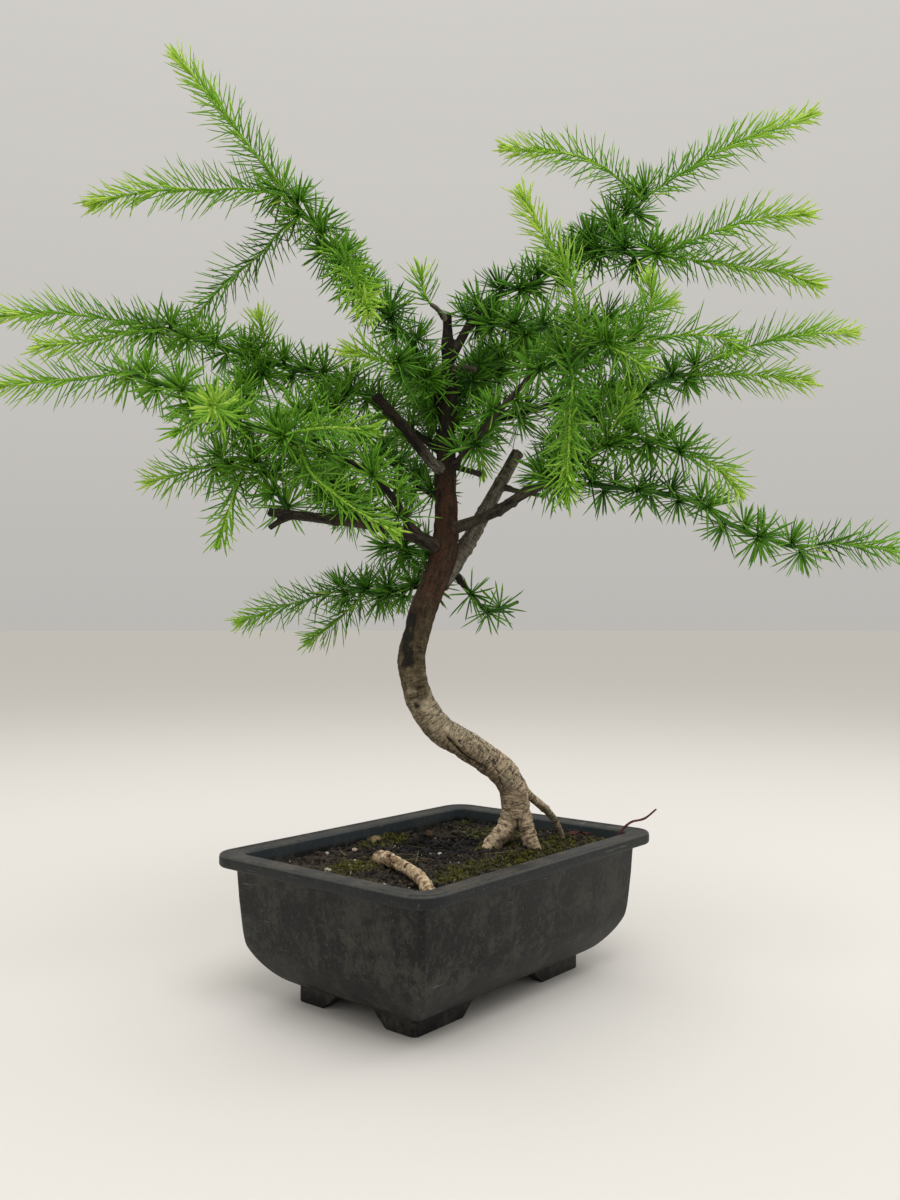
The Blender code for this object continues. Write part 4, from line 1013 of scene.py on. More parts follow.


# Larch bark: low on the trunk it is tan-grey, ringed finely across and broken in plates; higher up
# it is red-brown and then old, near black and fissured along, its darkening partly painted shade
# under the crown; cut stubs have weathered grey. It is dull, with no shine. Painted shade darkens
# the underside of young bark, and painted shade and highlights follow its cracks and ridges.
def larchBark():
    material, shader, add = startMaterial("larchBark")
    place = add("Attribute", out="Vector", attribute_name="barkPlace")
    age, grey, dark, red, up = (add("Attribute", out="Fac", attribute_name=name) for name in barkMarks)
    across = add("Mapping", {"Vector": place, "Scale": (1.0, 1.0, 5.0)})
    lengthways = add("Mapping", {"Vector": place, "Scale": (1.0, 1.0, 0.22)})
    rings = add("TexNoise", {"Vector": across, "Scale": perSize(7), "Detail": 7, "Roughness": 0.7,
                             "Distortion": 0.5})
    fissures = add("TexNoise", {"Vector": lengthways, "Scale": perSize(2.6), "Detail": 6,
                                "Roughness": 0.7})
    flecks = add("TexNoise", {"Vector": place, "Scale": perSize(3.4), "Detail": 7, "Roughness": 0.72})
    blotches = add("TexNoise", {"Vector": place, "Scale": perSize(14), "Detail": 4})
    edge = add("MapRange", (blotches, 0.3, 0.7, -0.13, 0.13))
    turned = add("Math", (age, edge), operation="ADD", use_clamp=True)
    patchy = add("MapRange", (flecks, 0.42, 0.56))
    rusty = add("Math", (red, patchy), operation="MULTIPLY")
    # Painted shade: young bark is darker on its underside than on its upper side
    below = add("MapRange", (up, 0.35, -0.5, 0, 0.55))
    below = add("Math", (below, add("MapRange", (turned, 0.45, 0.15))), operation="MULTIPLY")
    base = add("ValToRGB", (turned,), wood["tones"])
    base = layered(add, base, (rusty, wood["redTone"]), (grey, wood["weathered"]),
                   (below, wood["underside"]))
    pattern = add("Mix", {0: turned, 2: rings, 3: fissures})
    pattern = add("Mix", {0: 0.36, 2: pattern, 3: flecks})
    # Painted shade in the cracks and painted highlight on the ridges, along with the bark's own darker and
    # paler marks
    shade = add("ValToRGB", (pattern,), wood["crackShadeRidgeLight"])
    strong = add("MapRange", (turned, 0, 0.5, 0.8))
    base = add("Mix", {0: strong, 6: base, 7: shade}, out=2, data_type="RGBA", blend_type="MULTIPLY")
    # Marks on the skin get ragged edges
    uneven = add("MapRange", (flecks, 0.3, 0.7, -0.4, 0.3))
    dark = add("Math", (dark, uneven), operation="ADD")
    dark = add("MapRange", (dark, 0.34, 0.6, 0, 0.92))
    # Fine dark lines across young bark
    seams = add("TexNoise", {"Vector": across, "Scale": perSize(15), "Detail": 4, "Roughness": 0.6})
    seams = add("Math", (seams, 0.5), operation="SUBTRACT")
    seams = add("Math", (seams,), operation="ABSOLUTE")
    seams = add("MapRange", (seams, 0.026, 0.004, 0, 0.8))
    young = add("MapRange", (turned, 0.75, 0.35))
    seams = add("Math", (seams, young), operation="MULTIPLY")
    dark = add("Math", (dark, seams), operation="MAXIMUM")
    # Dark marks, partly painted shade in the crease and the sunk grooves
    base = layered(add, base, (dark, wood["darkMarksAndShade"]))
    bump = add("Bump", {"Height": pattern, "Strength": 1.0, "Distance": 0.002})
    return dress(material, shader, base, None, bump, Roughness=0.88, Specular_IOR_Level=0.3)


# A bare root on the soil and a dry twig in it
rootlet = {
    "points": [(-84.5, -38.5, 2.6), (-80, -47, 4.4), (-73, -61, 4.8), (-64, -80, 4.8), (-57, -101, 4.2),
        (-52, -121, 2), (-51, -128, 0)],
    "widths": [8.4, 7.8, 7.0, 6.8, 7.2, 7.2],
    "tone": "#957a5a",
    "dark": "#2c1e13",
    "light": "#d2bf9f",
    "sides": 24,
    "step": 0.8,
    "reach": 0.24,
}
dryTwig = {
    "points": [(58, 12, -9), (63, 11, 0), (68.7, 10, 8.8), (75, 10, 15), (84, 10, 17.5),
        (91.5, 10, 23.3)],
    "widths": [1.8, 1.8, 1.7, 1.6, 1.5, 1.2],
    "dark": "#4a2a20",
    "tone": "#4a2a20",
    "light": "#7b4c38",
    "sides": 8,
    "step": 1.2,
    "reach": 0.22,
}


# Root skin and dead twig bark: dry and matt, streaked along with fine wrinkles across, with painted
# shade in the wrinkles and painted highlights on the ridges
def drySkin(name, shape, size):
    material, shader, add = startMaterial(name)
    place = add("Attribute", out="Vector", attribute_name="barkPlace")
    across = add("Mapping", {"Vector": place, "Scale": (1.0, 1.0, 2.6)})
    wrinkles = add("TexNoise", {"Vector": across, "Scale": perSize(size), "Detail": 7, "Roughness": 0.72,
                                "Distortion": 0.8})
    lengthways = add("Mapping", {"Vector": place, "Scale": (1.0, 1.0, 0.25)})
    streaks = add("TexNoise", {"Vector": lengthways, "Scale": perSize(size * 0.6), "Detail": 5,
                               "Roughness": 0.65})
    pattern = add("Mix", {0: 0.5, 2: wrinkles, 3: streaks})
    # Painted shade in the wrinkles and painted highlights on the ridges, over the skin's own streaks
    base = add("ValToRGB", (pattern,),
               [(0.42, shape["dark"]), (0.485, shape["tone"]), (0.55, shape["light"])])
    bump = add("Bump", {"Height": pattern, "Strength": 0.7, "Distance": 0.0007})
    return dress(material, shader, base, None, bump, Roughness=0.85, Specular_IOR_Level=0.3)


def makeDryStem(name, shape, material, slot, node):
    stem = makeStem(shape["points"], shape["widths"])

    def swell(along, angle):
        place = Vector((math.cos(angle), math.sin(angle), along / 5.0))
        return 1.0 + shape["reach"] * (noise.noise(place * 1.1) + 0.45 * noise.noise(place * 3.2))

    bm = bmesh.new()
    loft(bm, stemRings(stem, shape["step"], shape["sides"], swell, True))
    mesh = meshFrom(bm, name)
    points = np.array([vert.co for vert in mesh.vertices], np.float32)
    number, radius, places = nearestStem(points, {name: stem})
    addMarks(mesh, "barkPlace", places * 0.001, "FLOAT_VECTOR")
    mesh.shade_smooth()
    finishPiece(name, mesh, [material], slot, node)


# Foliage: the points of the old twigs with spurs, each spur with a star of needles, and of this
# year's shoots with needles all along
sprays = {
    "upper_left": [(-59, -4, 311), (-67, -6, 324), (-78, -8, 336), (-93, -10, 350), (-110, -12, 371),
        (-124, -14, 390), (-139, -16, 408), (-148, -18, 417)],
    "left_high": [(-86, 19, 284), (-104, 22, 298), (-117, 22, 306), (-137, 18, 309), (-159, 12, 314),
        (-173, 8, 317), (-194, 2, 323), (-215, -4, 329), (-230, -8, 333)],
    "left_mid": [(-104, -41, 243), (-125, -48, 250), (-142, -52, 254), (-156, -53, 260), (-172, -52, 264),
        (-187, -50, 273), (-204, -47, 283), (-221, -44, 290), (-236, -42, 295)],
    "left_low": [(-139, -42, 210), (-143, -44, 219), (-148, -44, 230), (-155, -42, 238), (-166, -38, 243),
        (-179, -32, 243), (-192, -26, 240)],
    "left_inner": [(-104, -31, 206), (-111, -22, 220), (-119, -8, 232), (-131, 8, 243), (-144, 22, 250)],
    "low_left": [(-74, 36, 166), (-89, 48, 165), (-107, 60, 166), (-122, 70, 166)],
    "low_right": [(-20, 28, 154), (-13, 32, 152), (-5, 36, 154), (4, 40, 158)],
    "low_back": [(-46, 4, 183), (-52, 12, 187), (-61, 20, 191), (-75, 32, 194), (-86, 42, 197)],
    "back_left": [(-65, 30, 237), (-76, 46, 248), (-87, 60, 263), (-100, 72, 273), (-113, 82, 282)],
    "centre_left": [(-56, -2, 301), (-64, -12, 300), (-71, -22, 302), (-77, -30, 304)],
    "front": [(-26, 7, 342), (-13, -6, 334), (2, -16, 328), (17, -24, 327)],
    "upper_right": [(-18, 9, 353), (-3, 10, 360), (14, 10, 366), (30, 12, 376), (47, 14, 390),
        (62, 16, 404), (79, 18, 416), (90, 18, 427)],
    "right_upper": [(47, 14, 390), (62, 2, 385), (79, -10, 377), (94, -18, 376)],
    "hub": [(10, -40, 296), (23, -48, 300), (35, -56, 305), (46, -58, 308), (57, -60, 308),
        (69, -60, 309)],
    "right_back": [(42, 34, 294), (73, 34, 299), (99, 30, 305), (118, 26, 310), (127, 24, 316)],
    "right_lower": [(20, -31, 230), (34, -34, 240), (49, -36, 249), (65, -38, 256), (82, -40, 253),
        (98, -44, 245)],
    "long_right": [(25, -33, 231), (41, -30, 229), (60, -28, 227), (75, -26, 226), (91, -24, 224),
        (107, -22, 220), (121, -20, 213), (138, -18, 203), (155, -16, 197), (172, -14, 192),
        (183, -12, 192)],
    "right_inner": [(13, -28, 228), (22, -20, 242), (31, -8, 260), (45, 2, 274), (62, 10, 284),
        (83, 16, 288)],
    "centre_right": [(-42, 1, 294), (-22, 10, 305), (-5, 18, 317), (11, 24, 329), (32, 28, 336),
        (52, 30, 344), (66, 32, 349)],
    "back_left_away": [(-44, 0, 268), (-48, 36, 286), (-56, 72, 304), (-64, 106, 319), (-69, 134, 331)],
    "back_right_away": [(-43, 1, 284), (-31, 42, 305), (-16, 80, 323), (0, 112, 339)],
}
shoots = {
    "upper_left_tip": [(-148, -18, 417), (-164, -20, 438), (-179, -23, 457), (-194, -26, 475),
        (-209, -30, 492)],
    "upper_left_side": [(-143, -17, 412), (-169, -26, 413), (-189, -34, 409), (-209, -42, 406),
        (-232, -50, 400), (-250, -58, 392)],
    "upper_left_down": [(-134, -15, 401), (-150, -6, 394), (-164, 2, 382), (-184, 8, 368),
        (-202, 16, 354), (-215, 22, 340), (-226, 26, 330)],
    "upper_left_front": [(-117, -13, 381), (-105, -36, 362), (-96, -58, 341), (-88, -80, 322)],
    "left_high_tip": [(-230, -8, 333), (-247, -13, 334), (-263, -18, 335), (-284, -24, 336),
        (-320, -34, 331)],
    "left_high_side": [(-222, -6, 331), (-244, -22, 324), (-258, -32, 317), (-274, -42, 312),
        (-285, -48, 309)],
    "left_mid_tip": [(-236, -42, 295), (-258, -50, 290), (-278, -58, 286), (-306, -68, 280)],
    "left_mid_front": [(-172, -52, 264), (-173, -76, 264), (-171, -104, 263)],
    "left_mid_right": [(-144, -52, 255), (-125, -70, 255), (-108, -84, 254), (-86, -100, 250)],
    "left_mid_down": [(-132, -50, 252), (-123, -64, 232), (-108, -74, 218), (-92, -84, 206),
        (-75, -94, 196)],
    "left_low_tip": [(-192, -26, 240), (-205, -24, 237), (-225, -22, 232)],
    "left_low_down": [(-163, -39, 242), (-169, -50, 224), (-171, -60, 208), (-174, -68, 193)],
    "low_left_tip": [(-122, 70, 166), (-141, 78, 161), (-164, 86, 155), (-192, 94, 145)],
    "low_left_side": [(-100, 55, 165), (-113, 60, 152), (-124, 62, 142), (-138, 64, 133)],
    "centre_left_tip": [(-77, -30, 304), (-87, -42, 304), (-99, -55, 304)],
    "upper_right_tip": [(90, 18, 427), (110, 20, 441), (129, 22, 453), (148, 24, 464), (175, 28, 475),
        (201, 32, 486)],
    "upper_right_side": [(86, 18, 423), (63, 14, 441), (48, 10, 447), (29, 4, 449), (-3, -4, 448)],
    "right_upper_tip": [(94, -18, 376), (110, -24, 382), (130, -30, 388), (149, -36, 391),
        (171, -42, 391)],
    "right_upper_low": [(85, -14, 376), (116, -14, 372), (140, -18, 367), (163, -24, 362),
        (181, -32, 352)],
    "hub_up": [(36, -56, 305), (31, -66, 333), (25, -70, 350), (16, -74, 362), (7, -78, 374),
        (0, -82, 385)],
    "hub_hang": [(28, -51, 302), (29, -72, 286), (26, -86, 264), (24, -98, 245), (22, -108, 227),
        (21, -116, 214)],
    "hub_tip": [(69, -60, 309), (85, -66, 310), (98, -72, 310), (112, -80, 306), (118, -86, 300)],
    "hub_tuft": [(64, -60, 308), (74, -56, 324), (78, -52, 337), (77, -50, 348)],
    "right_back_tip": [(127, 24, 316), (146, 20, 323), (168, 16, 329), (193, 12, 333), (217, 8, 332)],
    "right_back_low": [(116, 27, 309), (144, 14, 307), (165, 4, 303), (184, -4, 298)],
    "right_lower_tip": [(98, -44, 245), (110, -50, 241), (119, -54, 234), (126, -58, 223)],
    "long_right_tip": [(183, -12, 192), (201, -10, 194), (221, -8, 193), (252, -5, 188)],
    "centre_right_tip": [(66, 32, 349), (87, 38, 355), (108, 44, 362)],
    "back_left_tip": [(-113, 82, 282), (-130, 92, 290), (-150, 100, 297)],
    "back_left_away_tip": [(-69, 134, 331), (-75, 158, 342), (-80, 182, 354)],
    "back_right_away_tip": [(0, 112, 339), (16, 136, 353), (32, 158, 366)],
    "top_tuft": [(-54, -6, 347), (-58, -8, 354), (-60, -9, 364)],
}
# More shoots that only the foliage here has: short bright tufts in the crown
tufts = {
    "left_high_up": [(-159, 12, 314), (-161, 4, 324), (-163, -4, 337)],
    "behind_trunk": [(-24, 38, 278), (-21, 41, 264), (-19, 44, 249)],
    "left_mid_under": [(-187, -50, 273), (-190, -62, 262), (-196, -74, 254)],
    "right_back_up": [(73, 34, 299), (80, 28, 312), (88, 22, 324)],
    "hub_right": [(46, -58, 308), (56, -72, 300), (66, -84, 290)],
    "right_lower_up": [(49, -36, 249), (56, -46, 262), (64, -54, 274)],
}
# Rosettes on the limbs themselves: which spray they are kept with, on which limb, from and to
# which part of its length, and how many
limbStars = {
    "left_mid": ("left_mid_limb", 0.22, 1.0, 7), "left_high": ("left_high_limb", 0.25, 1.0, 6),
    "back_left": ("back_left_limb", 0.2, 1.0, 4), "low_left": ("low_left_limb", 0.1, 1.0, 5),
    "low_right": ("low_right_limb", 0.55, 1.0, 1), "hub": ("hub_limb", 0.15, 1.0, 6),
    "right_back": ("right_back_limb", 0.15, 1.0, 7), "upper_left": ("upper_left_limb", 0.1, 1.0, 5),
    "upper_right": ("upper_right_limb", 0.5, 1.0, 3), "right_lower": ("right_limb", 0.8, 1.0, 2),
    "centre_right": ("right_stub", 0.75, 1.0, 1), "centre_left": ("trunk", 0.785, 0.83, 1),
}
# Rosettes on a twig: from and to which part of it, their step in mm and their size
commonRow = (0.0, 1.0, 8.6, 1.0)
fillRow = (0.1, 1.0, 8.6, 0.95)
starRows = {"low_right": (0.0, 0.7, 11.0, 0.6), "long_right": (0.0, 1.0, 10.5, 0.82),
            "left_fill": fillRow, "left_drop": fillRow, "low_fill": fillRow}
# More twigs with rosettes that only the foliage here has, to fill the crown's left
fillSprays = {
    "left_fill": [(-104, 22, 298), (-112, 10, 289), (-122, -2, 281), (-134, -12, 276), (-147, -20, 273)],
    "left_drop": [(-159, 12, 314), (-165, 2, 301), (-171, -8, 290), (-176, -16, 284)],
    "low_fill": [(-94, -26, 205), (-102, -14, 214), (-112, -4, 224), (-124, 4, 231)],
}
foliage = {
    "sprayWidth": (3.2, 2.4),
    "shootWidth": (1.7, 1.0),
    "spurSize": (2.4, 3.4),
    "starNeedles": (38, 48),
    "starTilts": (10, 102),
    "starLength": (16.0, 24.0),
    "starBreadth": 1.08,
    "shootStep": 0.6,
    "shootBreadth": 1.15,
    "lift": 0.08,  # how much a shoot's needles turn up
    "tipTuft": (18, (6, 10), 0.9),  # needles at a shoot's tip, their lengths and breadth
    # Step between a twig's rings, its knobs, and its bark's age at its foot and tip
    "sprayTwig": (1.6, 0.55, (0.0, 0.1)),
    "shootTwig": (1.8, 0.3, (0.5, 1.0)),
    "shootTilts": (66, 34),
    "shootLength": (19.0, 21.5, 14.0),  # at the foot, in the middle and at the tip
    "bends": (-1.6, -0.6, 0.4, 1.2, 2.0, 3.0),  # how far a 20 mm needle's tip is bent aside, mm
    # A needle's outline: part of its length, width and thickness in mm
    "needle": [(0.0, 0.6, 0.45), (0.3, 1.14, 0.6), (0.8, 1.0, 0.52), (1.0, 0.0, 0.0)],
    "needleLength": 20.0,
    # A spur's outline: height and radius in parts of its size
    "spur": [(-0.5, 0.3), (0.0, 0.42), (0.22, 0.36), (0.34, 0.46), (0.58, 0.4), (0.7, 0.5), (0.95, 0.42),
        (1.05, 0.0)],
    "deep": "#1f4a0b",
    "leaf": "#5a9420",
    "fresh": "#8abd33",
    "tip": "#bcdc58",
    "twigOld": "#3a2f22",
    "twigOldLight": "#6b5c47",
    "twigNew": "#b0844a",
    "twigTip": "#b3bf5e",
}
# How fresh a shoot's needles are at its foot and its tip, and how many of them it has, as a share
commonLook = (0.38, 0.95, 1.0)
shootLooks = {
    "long_right_tip": (0.12, 0.8, 1.0), "low_left_tip": (0.16, 0.75, 1.0),
    "low_left_side": (0.16, 0.6, 0.9), "left_low_down": (0.2, 0.65, 0.8),
    "hub_hang": (0.2, 0.62, 1.0), "back_left_tip": (0.2, 0.7, 1.0),
    "left_mid_front": (0.45, 0.8, 1.0), "left_mid_right": (0.25, 0.62, 0.6),
    "left_mid_down": (0.25, 0.66, 0.6), "left_mid_under": (0.2, 0.6, 0.7),
    "upper_left_front": (0.34, 0.85, 0.9), "upper_left_down": (0.15, 0.5, 0.9), "hub_up": (0.5, 1.0, 1.0),
    "hub_tip": (0.3, 0.66, 0.8), "hub_right": (0.28, 0.62, 0.7), "right_lower_up": (0.28, 0.66, 0.7),
    "hub_tuft": (0.35, 0.8, 0.8), "right_back_up": (0.35, 0.8, 0.8), "behind_trunk": (0.4, 0.8, 0.8),
    "upper_right_side": (0.42, 1.0, 1.0),
}
# How fresh a spray's youngest needles are
commonAge = 0.1
starAges = {"left_mid": 0.24, "left_high": 0.18, "left_low": 0.2, "left_fill": 0.22, "left_drop": 0.22,
            "left_inner": 0.16, "low_fill": 0.16, "hub": 0.16}


def standAt(place, forward, side):
    across = forward.cross(side)
    return Matrix.Translation(place) @ Matrix((side, across, forward)).transposed().to_4x4()


# Leaning by `tilt` from the first of three directions: outward, the aim, and its upper side
def leanOut(around, turn, tilt):
    forward, side, across = around
    outward = side * math.cos(turn) + across * math.sin(turn)
    aim = (forward * math.cos(tilt) + outward * math.sin(tilt)).normalized()
    upper = (forward * math.sin(tilt) - outward * math.cos(tilt)).normalized()
    return outward, aim, (upper - aim * upper.dot(aim)).normalized()


def needleTemplate(bend):
    bm = bmesh.new()
    rings = []
    for part, width, thick in foliage["needle"]:
        middle = Vector((bend * part ** 2, 0.0, foliage["needleLength"] * part))
        aside, across = Vector((thick / 2, 0, 0)), Vector((0, width / 2, 0))
        rings.append([middle + aside, middle + across, middle - aside, middle - across])
    loft(bm, rings)
    for face in bm.faces:
        face.smooth = True
    return template(bm, "needle")


def spurTemplate():
    bm = bmesh.new()
    angles = [math.tau * k / 8 for k in range(8)]
    loft(bm, [[Vector((radius * math.cos(angle), radius * math.sin(angle), height)) for angle in angles]
              for height, radius in foliage["spur"]])
    for face in bm.faces:
        face.smooth = True
        face.material_index = 1
    return template(bm, "spur")


def template(bm, name):
    mesh = meshFrom(bm, name)
    parts = [vert.co.z / foliage["needleLength"] for vert in mesh.vertices]
    return {"mesh": mesh, "parts": parts}


def startGrowth(seed):
    return {"bm": bmesh.new(), "rng": random.Random(seed), "marks": []}


def plant(growth, shape, matrix, tone, age):
    copy = shape["mesh"].copy()
    copy.transform(matrix)
    growth["bm"].from_mesh(copy)
    bpy.data.meshes.remove(copy)
    growth["marks"].append((shape["parts"], tone, age))


def growTwig(growth, stem, step, knobs, ages):
    seed = growth["rng"].uniform(0, 50)

    def swell(along, angle):
        place = Vector((math.cos(angle) + seed, math.sin(angle), along / 2.6))
        return 1.0 + knobs * max(-0.3, noise.noise(place * 1.6))

    made = loft(growth["bm"], stemRings(stem, step, 8, swell, True))
    for face in {face for vert in made for face in vert.link_faces}:
        face.smooth = True
        face.material_index = 1
    first, last = ages
    start = stem["frames"][0][0]
    for vert in made:
        part = min(1.0, (vert.co - start).length / stem["length"])
        growth["marks"].append(([part], 0.5, first + (last - first) * part))


# Where the wood is, so that no needle runs into it
def mapWood(stems):
    spots = [(frameHere[0], widthAt(stem, along) / 2) for stem in stems.values()
             for frameHere, along in zip(stem["frames"][::4], stem["lengths"][::4])]
    finder = KDTree(len(spots))
    for number, (place, radius) in enumerate(spots):
        finder.insert(place, number)
    finder.balance()
    return finder, [radius for place, radius in spots]


def runsIntoWood(foot, aim, length):
    finder, radii = woodMap
    for part in (0.45, 0.7, 1.0):
        place, number, apart = finder.find(foot + aim * length * part)
        if apart < radii[number] + 0.5:
            return True
    return False


def growNeedle(growth, foot, aim, upper, length, width, age):
    rng = growth["rng"]
    shape, tone = rng.choice(needleShapes), rng.random()
    if runsIntoWood(foot, aim, length):
        return
    size = Matrix.Diagonal((width, width, length / foliage["needleLength"], 1.0))
    plant(growth, shape, standAt(foot, aim, upper) @ size, tone, age)


# A spur and its star of needles
def growStar(growth, foot, axis, age, size=1.0):
    rng = growth["rng"]
    spur = rng.uniform(*foliage["spurSize"]) * min(1.0, size + 0.15)
    side = axis.orthogonal().normalized()
    plant(growth, spurShape, standAt(foot, axis, side) @ Matrix.Scale(spur, 4), 0.5, 0.0)
    head = foot + axis * spur * 0.9
    count = round(rng.randint(*foliage["starNeedles"]) * size)
    low, high = foliage["starTilts"]
    high += rng.uniform(-12, 6)
    shortest, longest = foliage["starLength"]
    for k in range(count):
        part = (k + 0.5) / count
        tilt = math.radians(low + (high - low) * part ** 0.75 + rng.gauss(0, 5))
        around = k * goldenAngle + rng.gauss(0, 0.15)
        outward, aim, upper = leanOut((axis, side, axis.cross(side)), around, tilt)
        length = (shortest + (longest - shortest) * part + rng.gauss(0, 1.4)) * (0.75 + 0.25 * size)
        growNeedle(growth, head + outward * spur * 0.3, aim, upper, length, foliage["starBreadth"], age)


def starAxis(stem, along, turn, lean, lift):
    place, forward, side, across = frameAt(stem, along)
    outward = side * math.cos(turn) + across * math.sin(turn)
    axis = outward + forward * lean + Vector((0, 0, lift))
    return place + outward * widthAt(stem, along) * 0.4, axis.normalized()


def finishGrowth(growth, name, materials, slot, *nodes):
    mesh = meshFrom(growth["bm"], name)
    allParts, tones, ages = zip(*growth["marks"])
    counts = list(map(len, allParts))
    addMarks(mesh, "needlePart", [part for parts in allParts for part in parts])
    addMarks(mesh, "needleTone", np.repeat(tones, counts))
    addMarks(mesh, "growthAge", np.repeat(ages, counts))
    finishPiece(name, mesh, materials, slot, *nodes)


def growStarRow(growth, stem, first, last, count, size, youngest):
    rng = growth["rng"]
    turn = rng.uniform(0, math.tau)
    for i in range(count):
        part = first + (last - first) * (i + 0.5 + rng.uniform(-0.36, 0.36)) / count
        foot, axis = starAxis(stem, stem["length"] * part, turn + i * goldenAngle, 0.25, 0.35)
        age = youngest + 0.14 * rng.random() + 0.12 * i / count
        growStar(growth, foot, axis, age, size * rng.uniform(0.85, 1.0))


def growSpray(seed, name, points, stems, materials, *nodes):
    stem = makeStem(points, foliage["sprayWidth"])
    growth = startGrowth(seed)
    growTwig(growth, stem, *foliage["sprayTwig"])
    first, last, step, size = starRows.get(name, commonRow)
    age = starAges.get(name, commonAge)
    growStarRow(growth, stem, first, last, round(stem["length"] * last / step), size, age)
    if name in limbStars:
        limb, first, last, count = limbStars[name]
        growStarRow(growth, stems[limb], first, last, count, 0.9 * size, age)
    finishGrowth(growth, "starSpray_" + name, materials, "old_needles", *nodes)


def growShoot(seed, name, points, materials, *nodes):
    stem = makeStem(points, foliage["shootWidth"])
    growth = startGrowth(seed)
    rng = growth["rng"]
    first, last, share = shootLooks.get(name, commonLook)
    growTwig(growth, stem, *foliage["shootTwig"])
    count = int(stem["length"] * share / foliage["shootStep"])
    turn = rng.uniform(0, math.tau)
    steep, flat = foliage["shootTilts"]
    atFoot, atMiddle, atTip = foliage["shootLength"]
    for i in range(count):
        part = (i + 0.5) / count
        place, forward, side, across = frameAt(stem, stem["length"] * part)
        outward = side * math.cos(turn) + across * math.sin(turn)
        turn += goldenAngle + rng.gauss(0, 0.12)
        tilt = math.radians(steep + (flat - steep) * part ** 1.6 + rng.gauss(0, 8))
        aim = forward * math.cos(tilt) + outward * math.sin(tilt) + Vector((0, 0, foliage["lift"]))
        aim.normalize()
        upper = (forward - aim * forward.dot(aim)).normalized()
        if part < 0.5:
            length = atFoot + (atMiddle - atFoot) * part * 2
        else:
            length = atMiddle + (atTip - atMiddle) * (part * 2 - 1) ** 1.5
        length *= rng.uniform(0.74, 1.12)
        growNeedle(growth, place + outward * 0.5, aim, upper, length, foliage["shootBreadth"],
                   first + (last - first) * part ** 1.5 + rng.gauss(0, 0.06))
    growTipTuft(growth, stem, last)
    finishGrowth(growth, "needleShoot_" + name, materials, "new_needles", *nodes)


def growTipTuft(growth, stem, age):
    rng = growth["rng"]
    place, *around = stem["frames"][-1]
    count, lengths, breadth = foliage["tipTuft"]
    for k in range(count):
        tilt = math.radians(6 + 32 * k / count + rng.gauss(0, 4))
        outward, aim, upper = leanOut(around, k * goldenAngle, tilt)
        growNeedle(growth, place, aim, upper, rng.uniform(*lengths), breadth, age)


# Larch needles: soft, flat and matt green with a waxy bloom, dark on old spurs and yellow-green
# where they are new, a little paler toward the point
def larchNeedles():
    material, shader, add = startMaterial("larchNeedles")
    age, tone, part = (add("Attribute", out="Fac", attribute_name=name)
                       for name in ("growthAge", "needleTone", "needlePart"))
    shift = add("MapRange", (tone, 0, 1, -0.16, 0.18))
    paler = add("MapRange", (part, 0, 1, -0.05, 0.08))
    mixed = add("Math", (age, shift), operation="ADD")
    mixed = add("Math", (mixed, paler), operation="ADD", use_clamp=True)
    base = add("ValToRGB", (mixed,), [(0.0, foliage["deep"]), (0.3, foliage["leaf"]),
                                      (0.68, foliage["fresh"]), (1.0, foliage["tip"])])
    return dress(material, shader, base, Roughness=0.55, Specular_IOR_Level=0.25)


# Twig bark: knobbly, matt dark brown on old twigs, smooth and straw-coloured on new shoots
def twigBark():
    material, shader, add = startMaterial("larchTwigBark")
    place = add("TexCoord", out="Object")
    age = add("Attribute", out="Fac", attribute_name="growthAge")
    flecks = add("TexNoise", {"Vector": place, "Scale": perSize(1.8), "Detail": 5, "Roughness": 0.7})
    old = add("ValToRGB", (flecks,), [(0.4, foliage["twigOld"]), (0.68, foliage["twigOldLight"])])
    new = add("ValToRGB", (age,), [(0.5, foliage["twigNew"]), (0.85, foliage["twigTip"])])
    base = layered(add, old, (add("MapRange", (age, 0.15, 0.45)), new))
    bump = add("Bump", {"Height": flecks, "Strength": 0.5, "Distance": 0.0004})
    return dress(material, shader, base, None, bump, Roughness=0.8)


# Dry grass and old needles on the soil: dull straw, darker where it has rotted
def strawMaterial():
    material, shader, add = startMaterial("dryStraw")
    tone = add("Attribute", out="Fac", attribute_name="needleTone")
    base = add("ValToRGB", (tone,), [(0.2, litter["strawDark"]), (0.8, litter["straw"])])
    return dress(material, shader, base, Roughness=0.8, Specular_IOR_Level=0.3)


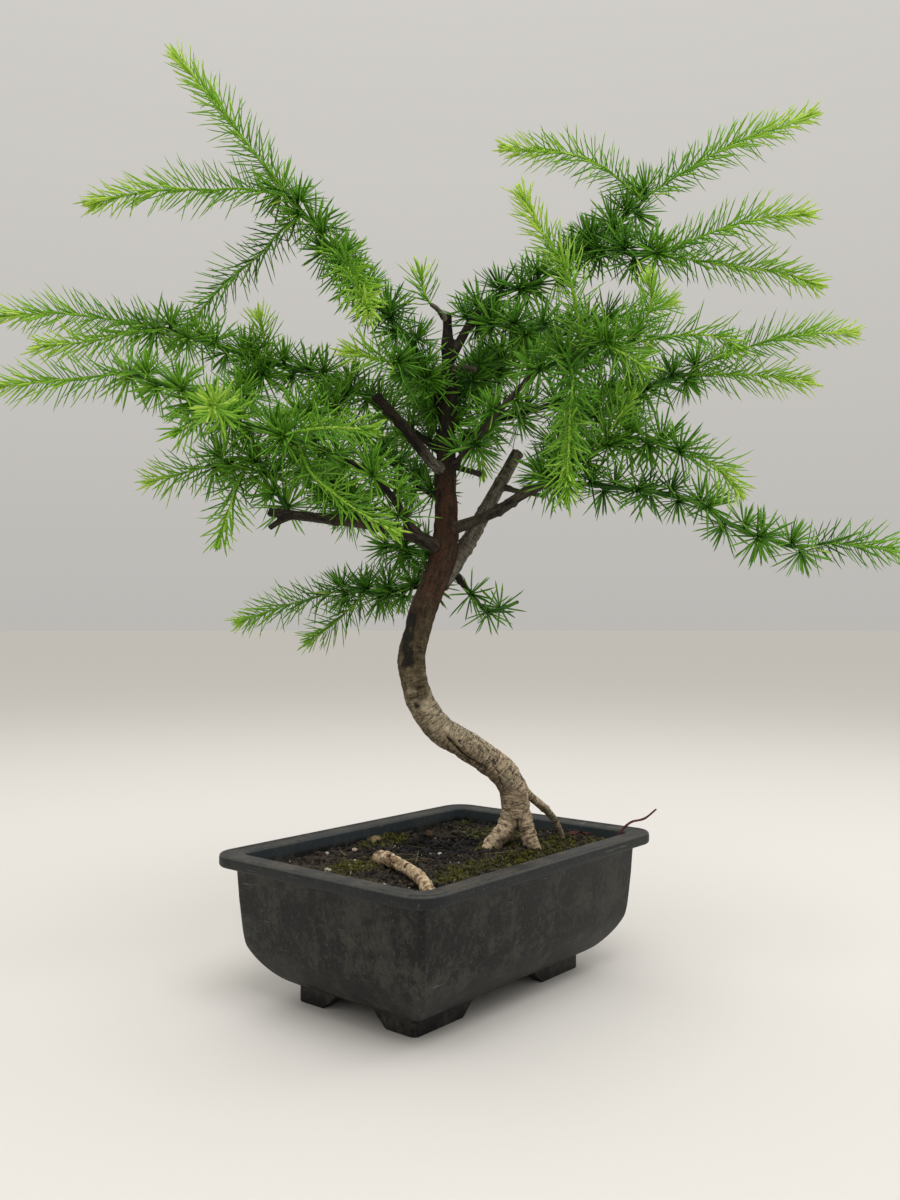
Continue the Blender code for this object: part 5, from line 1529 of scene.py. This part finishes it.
def scatterLitter():
    growth = startGrowth(91)
    rng = growth["rng"]
    for i in range(litter["fibres"]):
        x, y = soilSpot(rng, 12.0)
        heading = rng.uniform(0, math.tau)
        aim = Vector((math.cos(heading), math.sin(heading), rng.uniform(-0.02, 0.16))).normalized()
        foot = Vector((x, y, crustHeight(x, y) + 0.9))
        growNeedle(growth, foot, aim, aim.orthogonal().normalized(), rng.uniform(*litter["fibreLength"]),
            rng.uniform(0.5, 0.9), 0.0)
    finishGrowth(growth, "dryLitter", [strawMaterial()], "soil")


def growSprout(materials):
    growth = startGrowth(92)
    rng = growth["rng"]
    x, y = litter["sprout"]
    foot = Vector((x, y, crustHeight(x, y) - 0.5))
    around = Vector((0, 0, 1)), Vector((1, 0, 0)), Vector((0, 1, 0))
    for k in range(litter["sproutLeaves"]):
        outward, aim, upper = leanOut(around, k * goldenAngle, math.radians(rng.uniform(12, 55)))
        growNeedle(growth, foot, aim, upper, rng.uniform(7, 10), 1.3, 0.5)
    finishGrowth(growth, "soilSprout", materials, "new_needles")


setView()
layFloor()
hangLights()
print("larch bonsai: camera, floor and light are set")
makePot()
print("larch bonsai: the pot is moulded")
makeSoil()
growMoss()
scatterGrit()
print("larch bonsai: the soil is in, with its moss and grit")
stems = woodStems()
makeWood(stems)
print("larch bonsai: the wood has its bark")
makeDryStem("bareRoot", rootlet, drySkin("bareRootSkin", rootlet, 7), "bare_root", "surface_root")
makeDryStem("dryTwig", dryTwig, drySkin("deadTwigBark", dryTwig, 4), "dry_twig", "dry_twig")
needleShapes = [needleTemplate(bend) for bend in foliage["bends"]]
spurShape = spurTemplate()
woodMap = mapWood(stems)
greens = [larchNeedles(), twigBark()]
for number, (name, points) in enumerate(sprays.items()):
    growSpray(300 + number, name, points, stems, greens, "spray_" + name)
for number, (name, points) in enumerate(fillSprays.items()):
    growSpray(400 + number, name, points, stems, greens)
print("larch bonsai: the old twigs have their stars of needles")
for number, (name, points) in enumerate(shoots.items()):
    growShoot(600 + number, name, points, greens, "shoot_" + name)
for number, (name, points) in enumerate(tufts.items()):
    growShoot(700 + number, name, points, greens)
print("larch bonsai: the new shoots are out")
scatterLitter()
growSprout(greens)
triangles = {thing.name: sum(len(face.vertices) - 2 for face in thing.data.polygons)
    for thing in scene.objects if thing.type == "MESH"}
print("larch bonsai:", sum(triangles.values()), "triangles, the most in",
    max(triangles, key=triangles.get), max(triangles.values()))
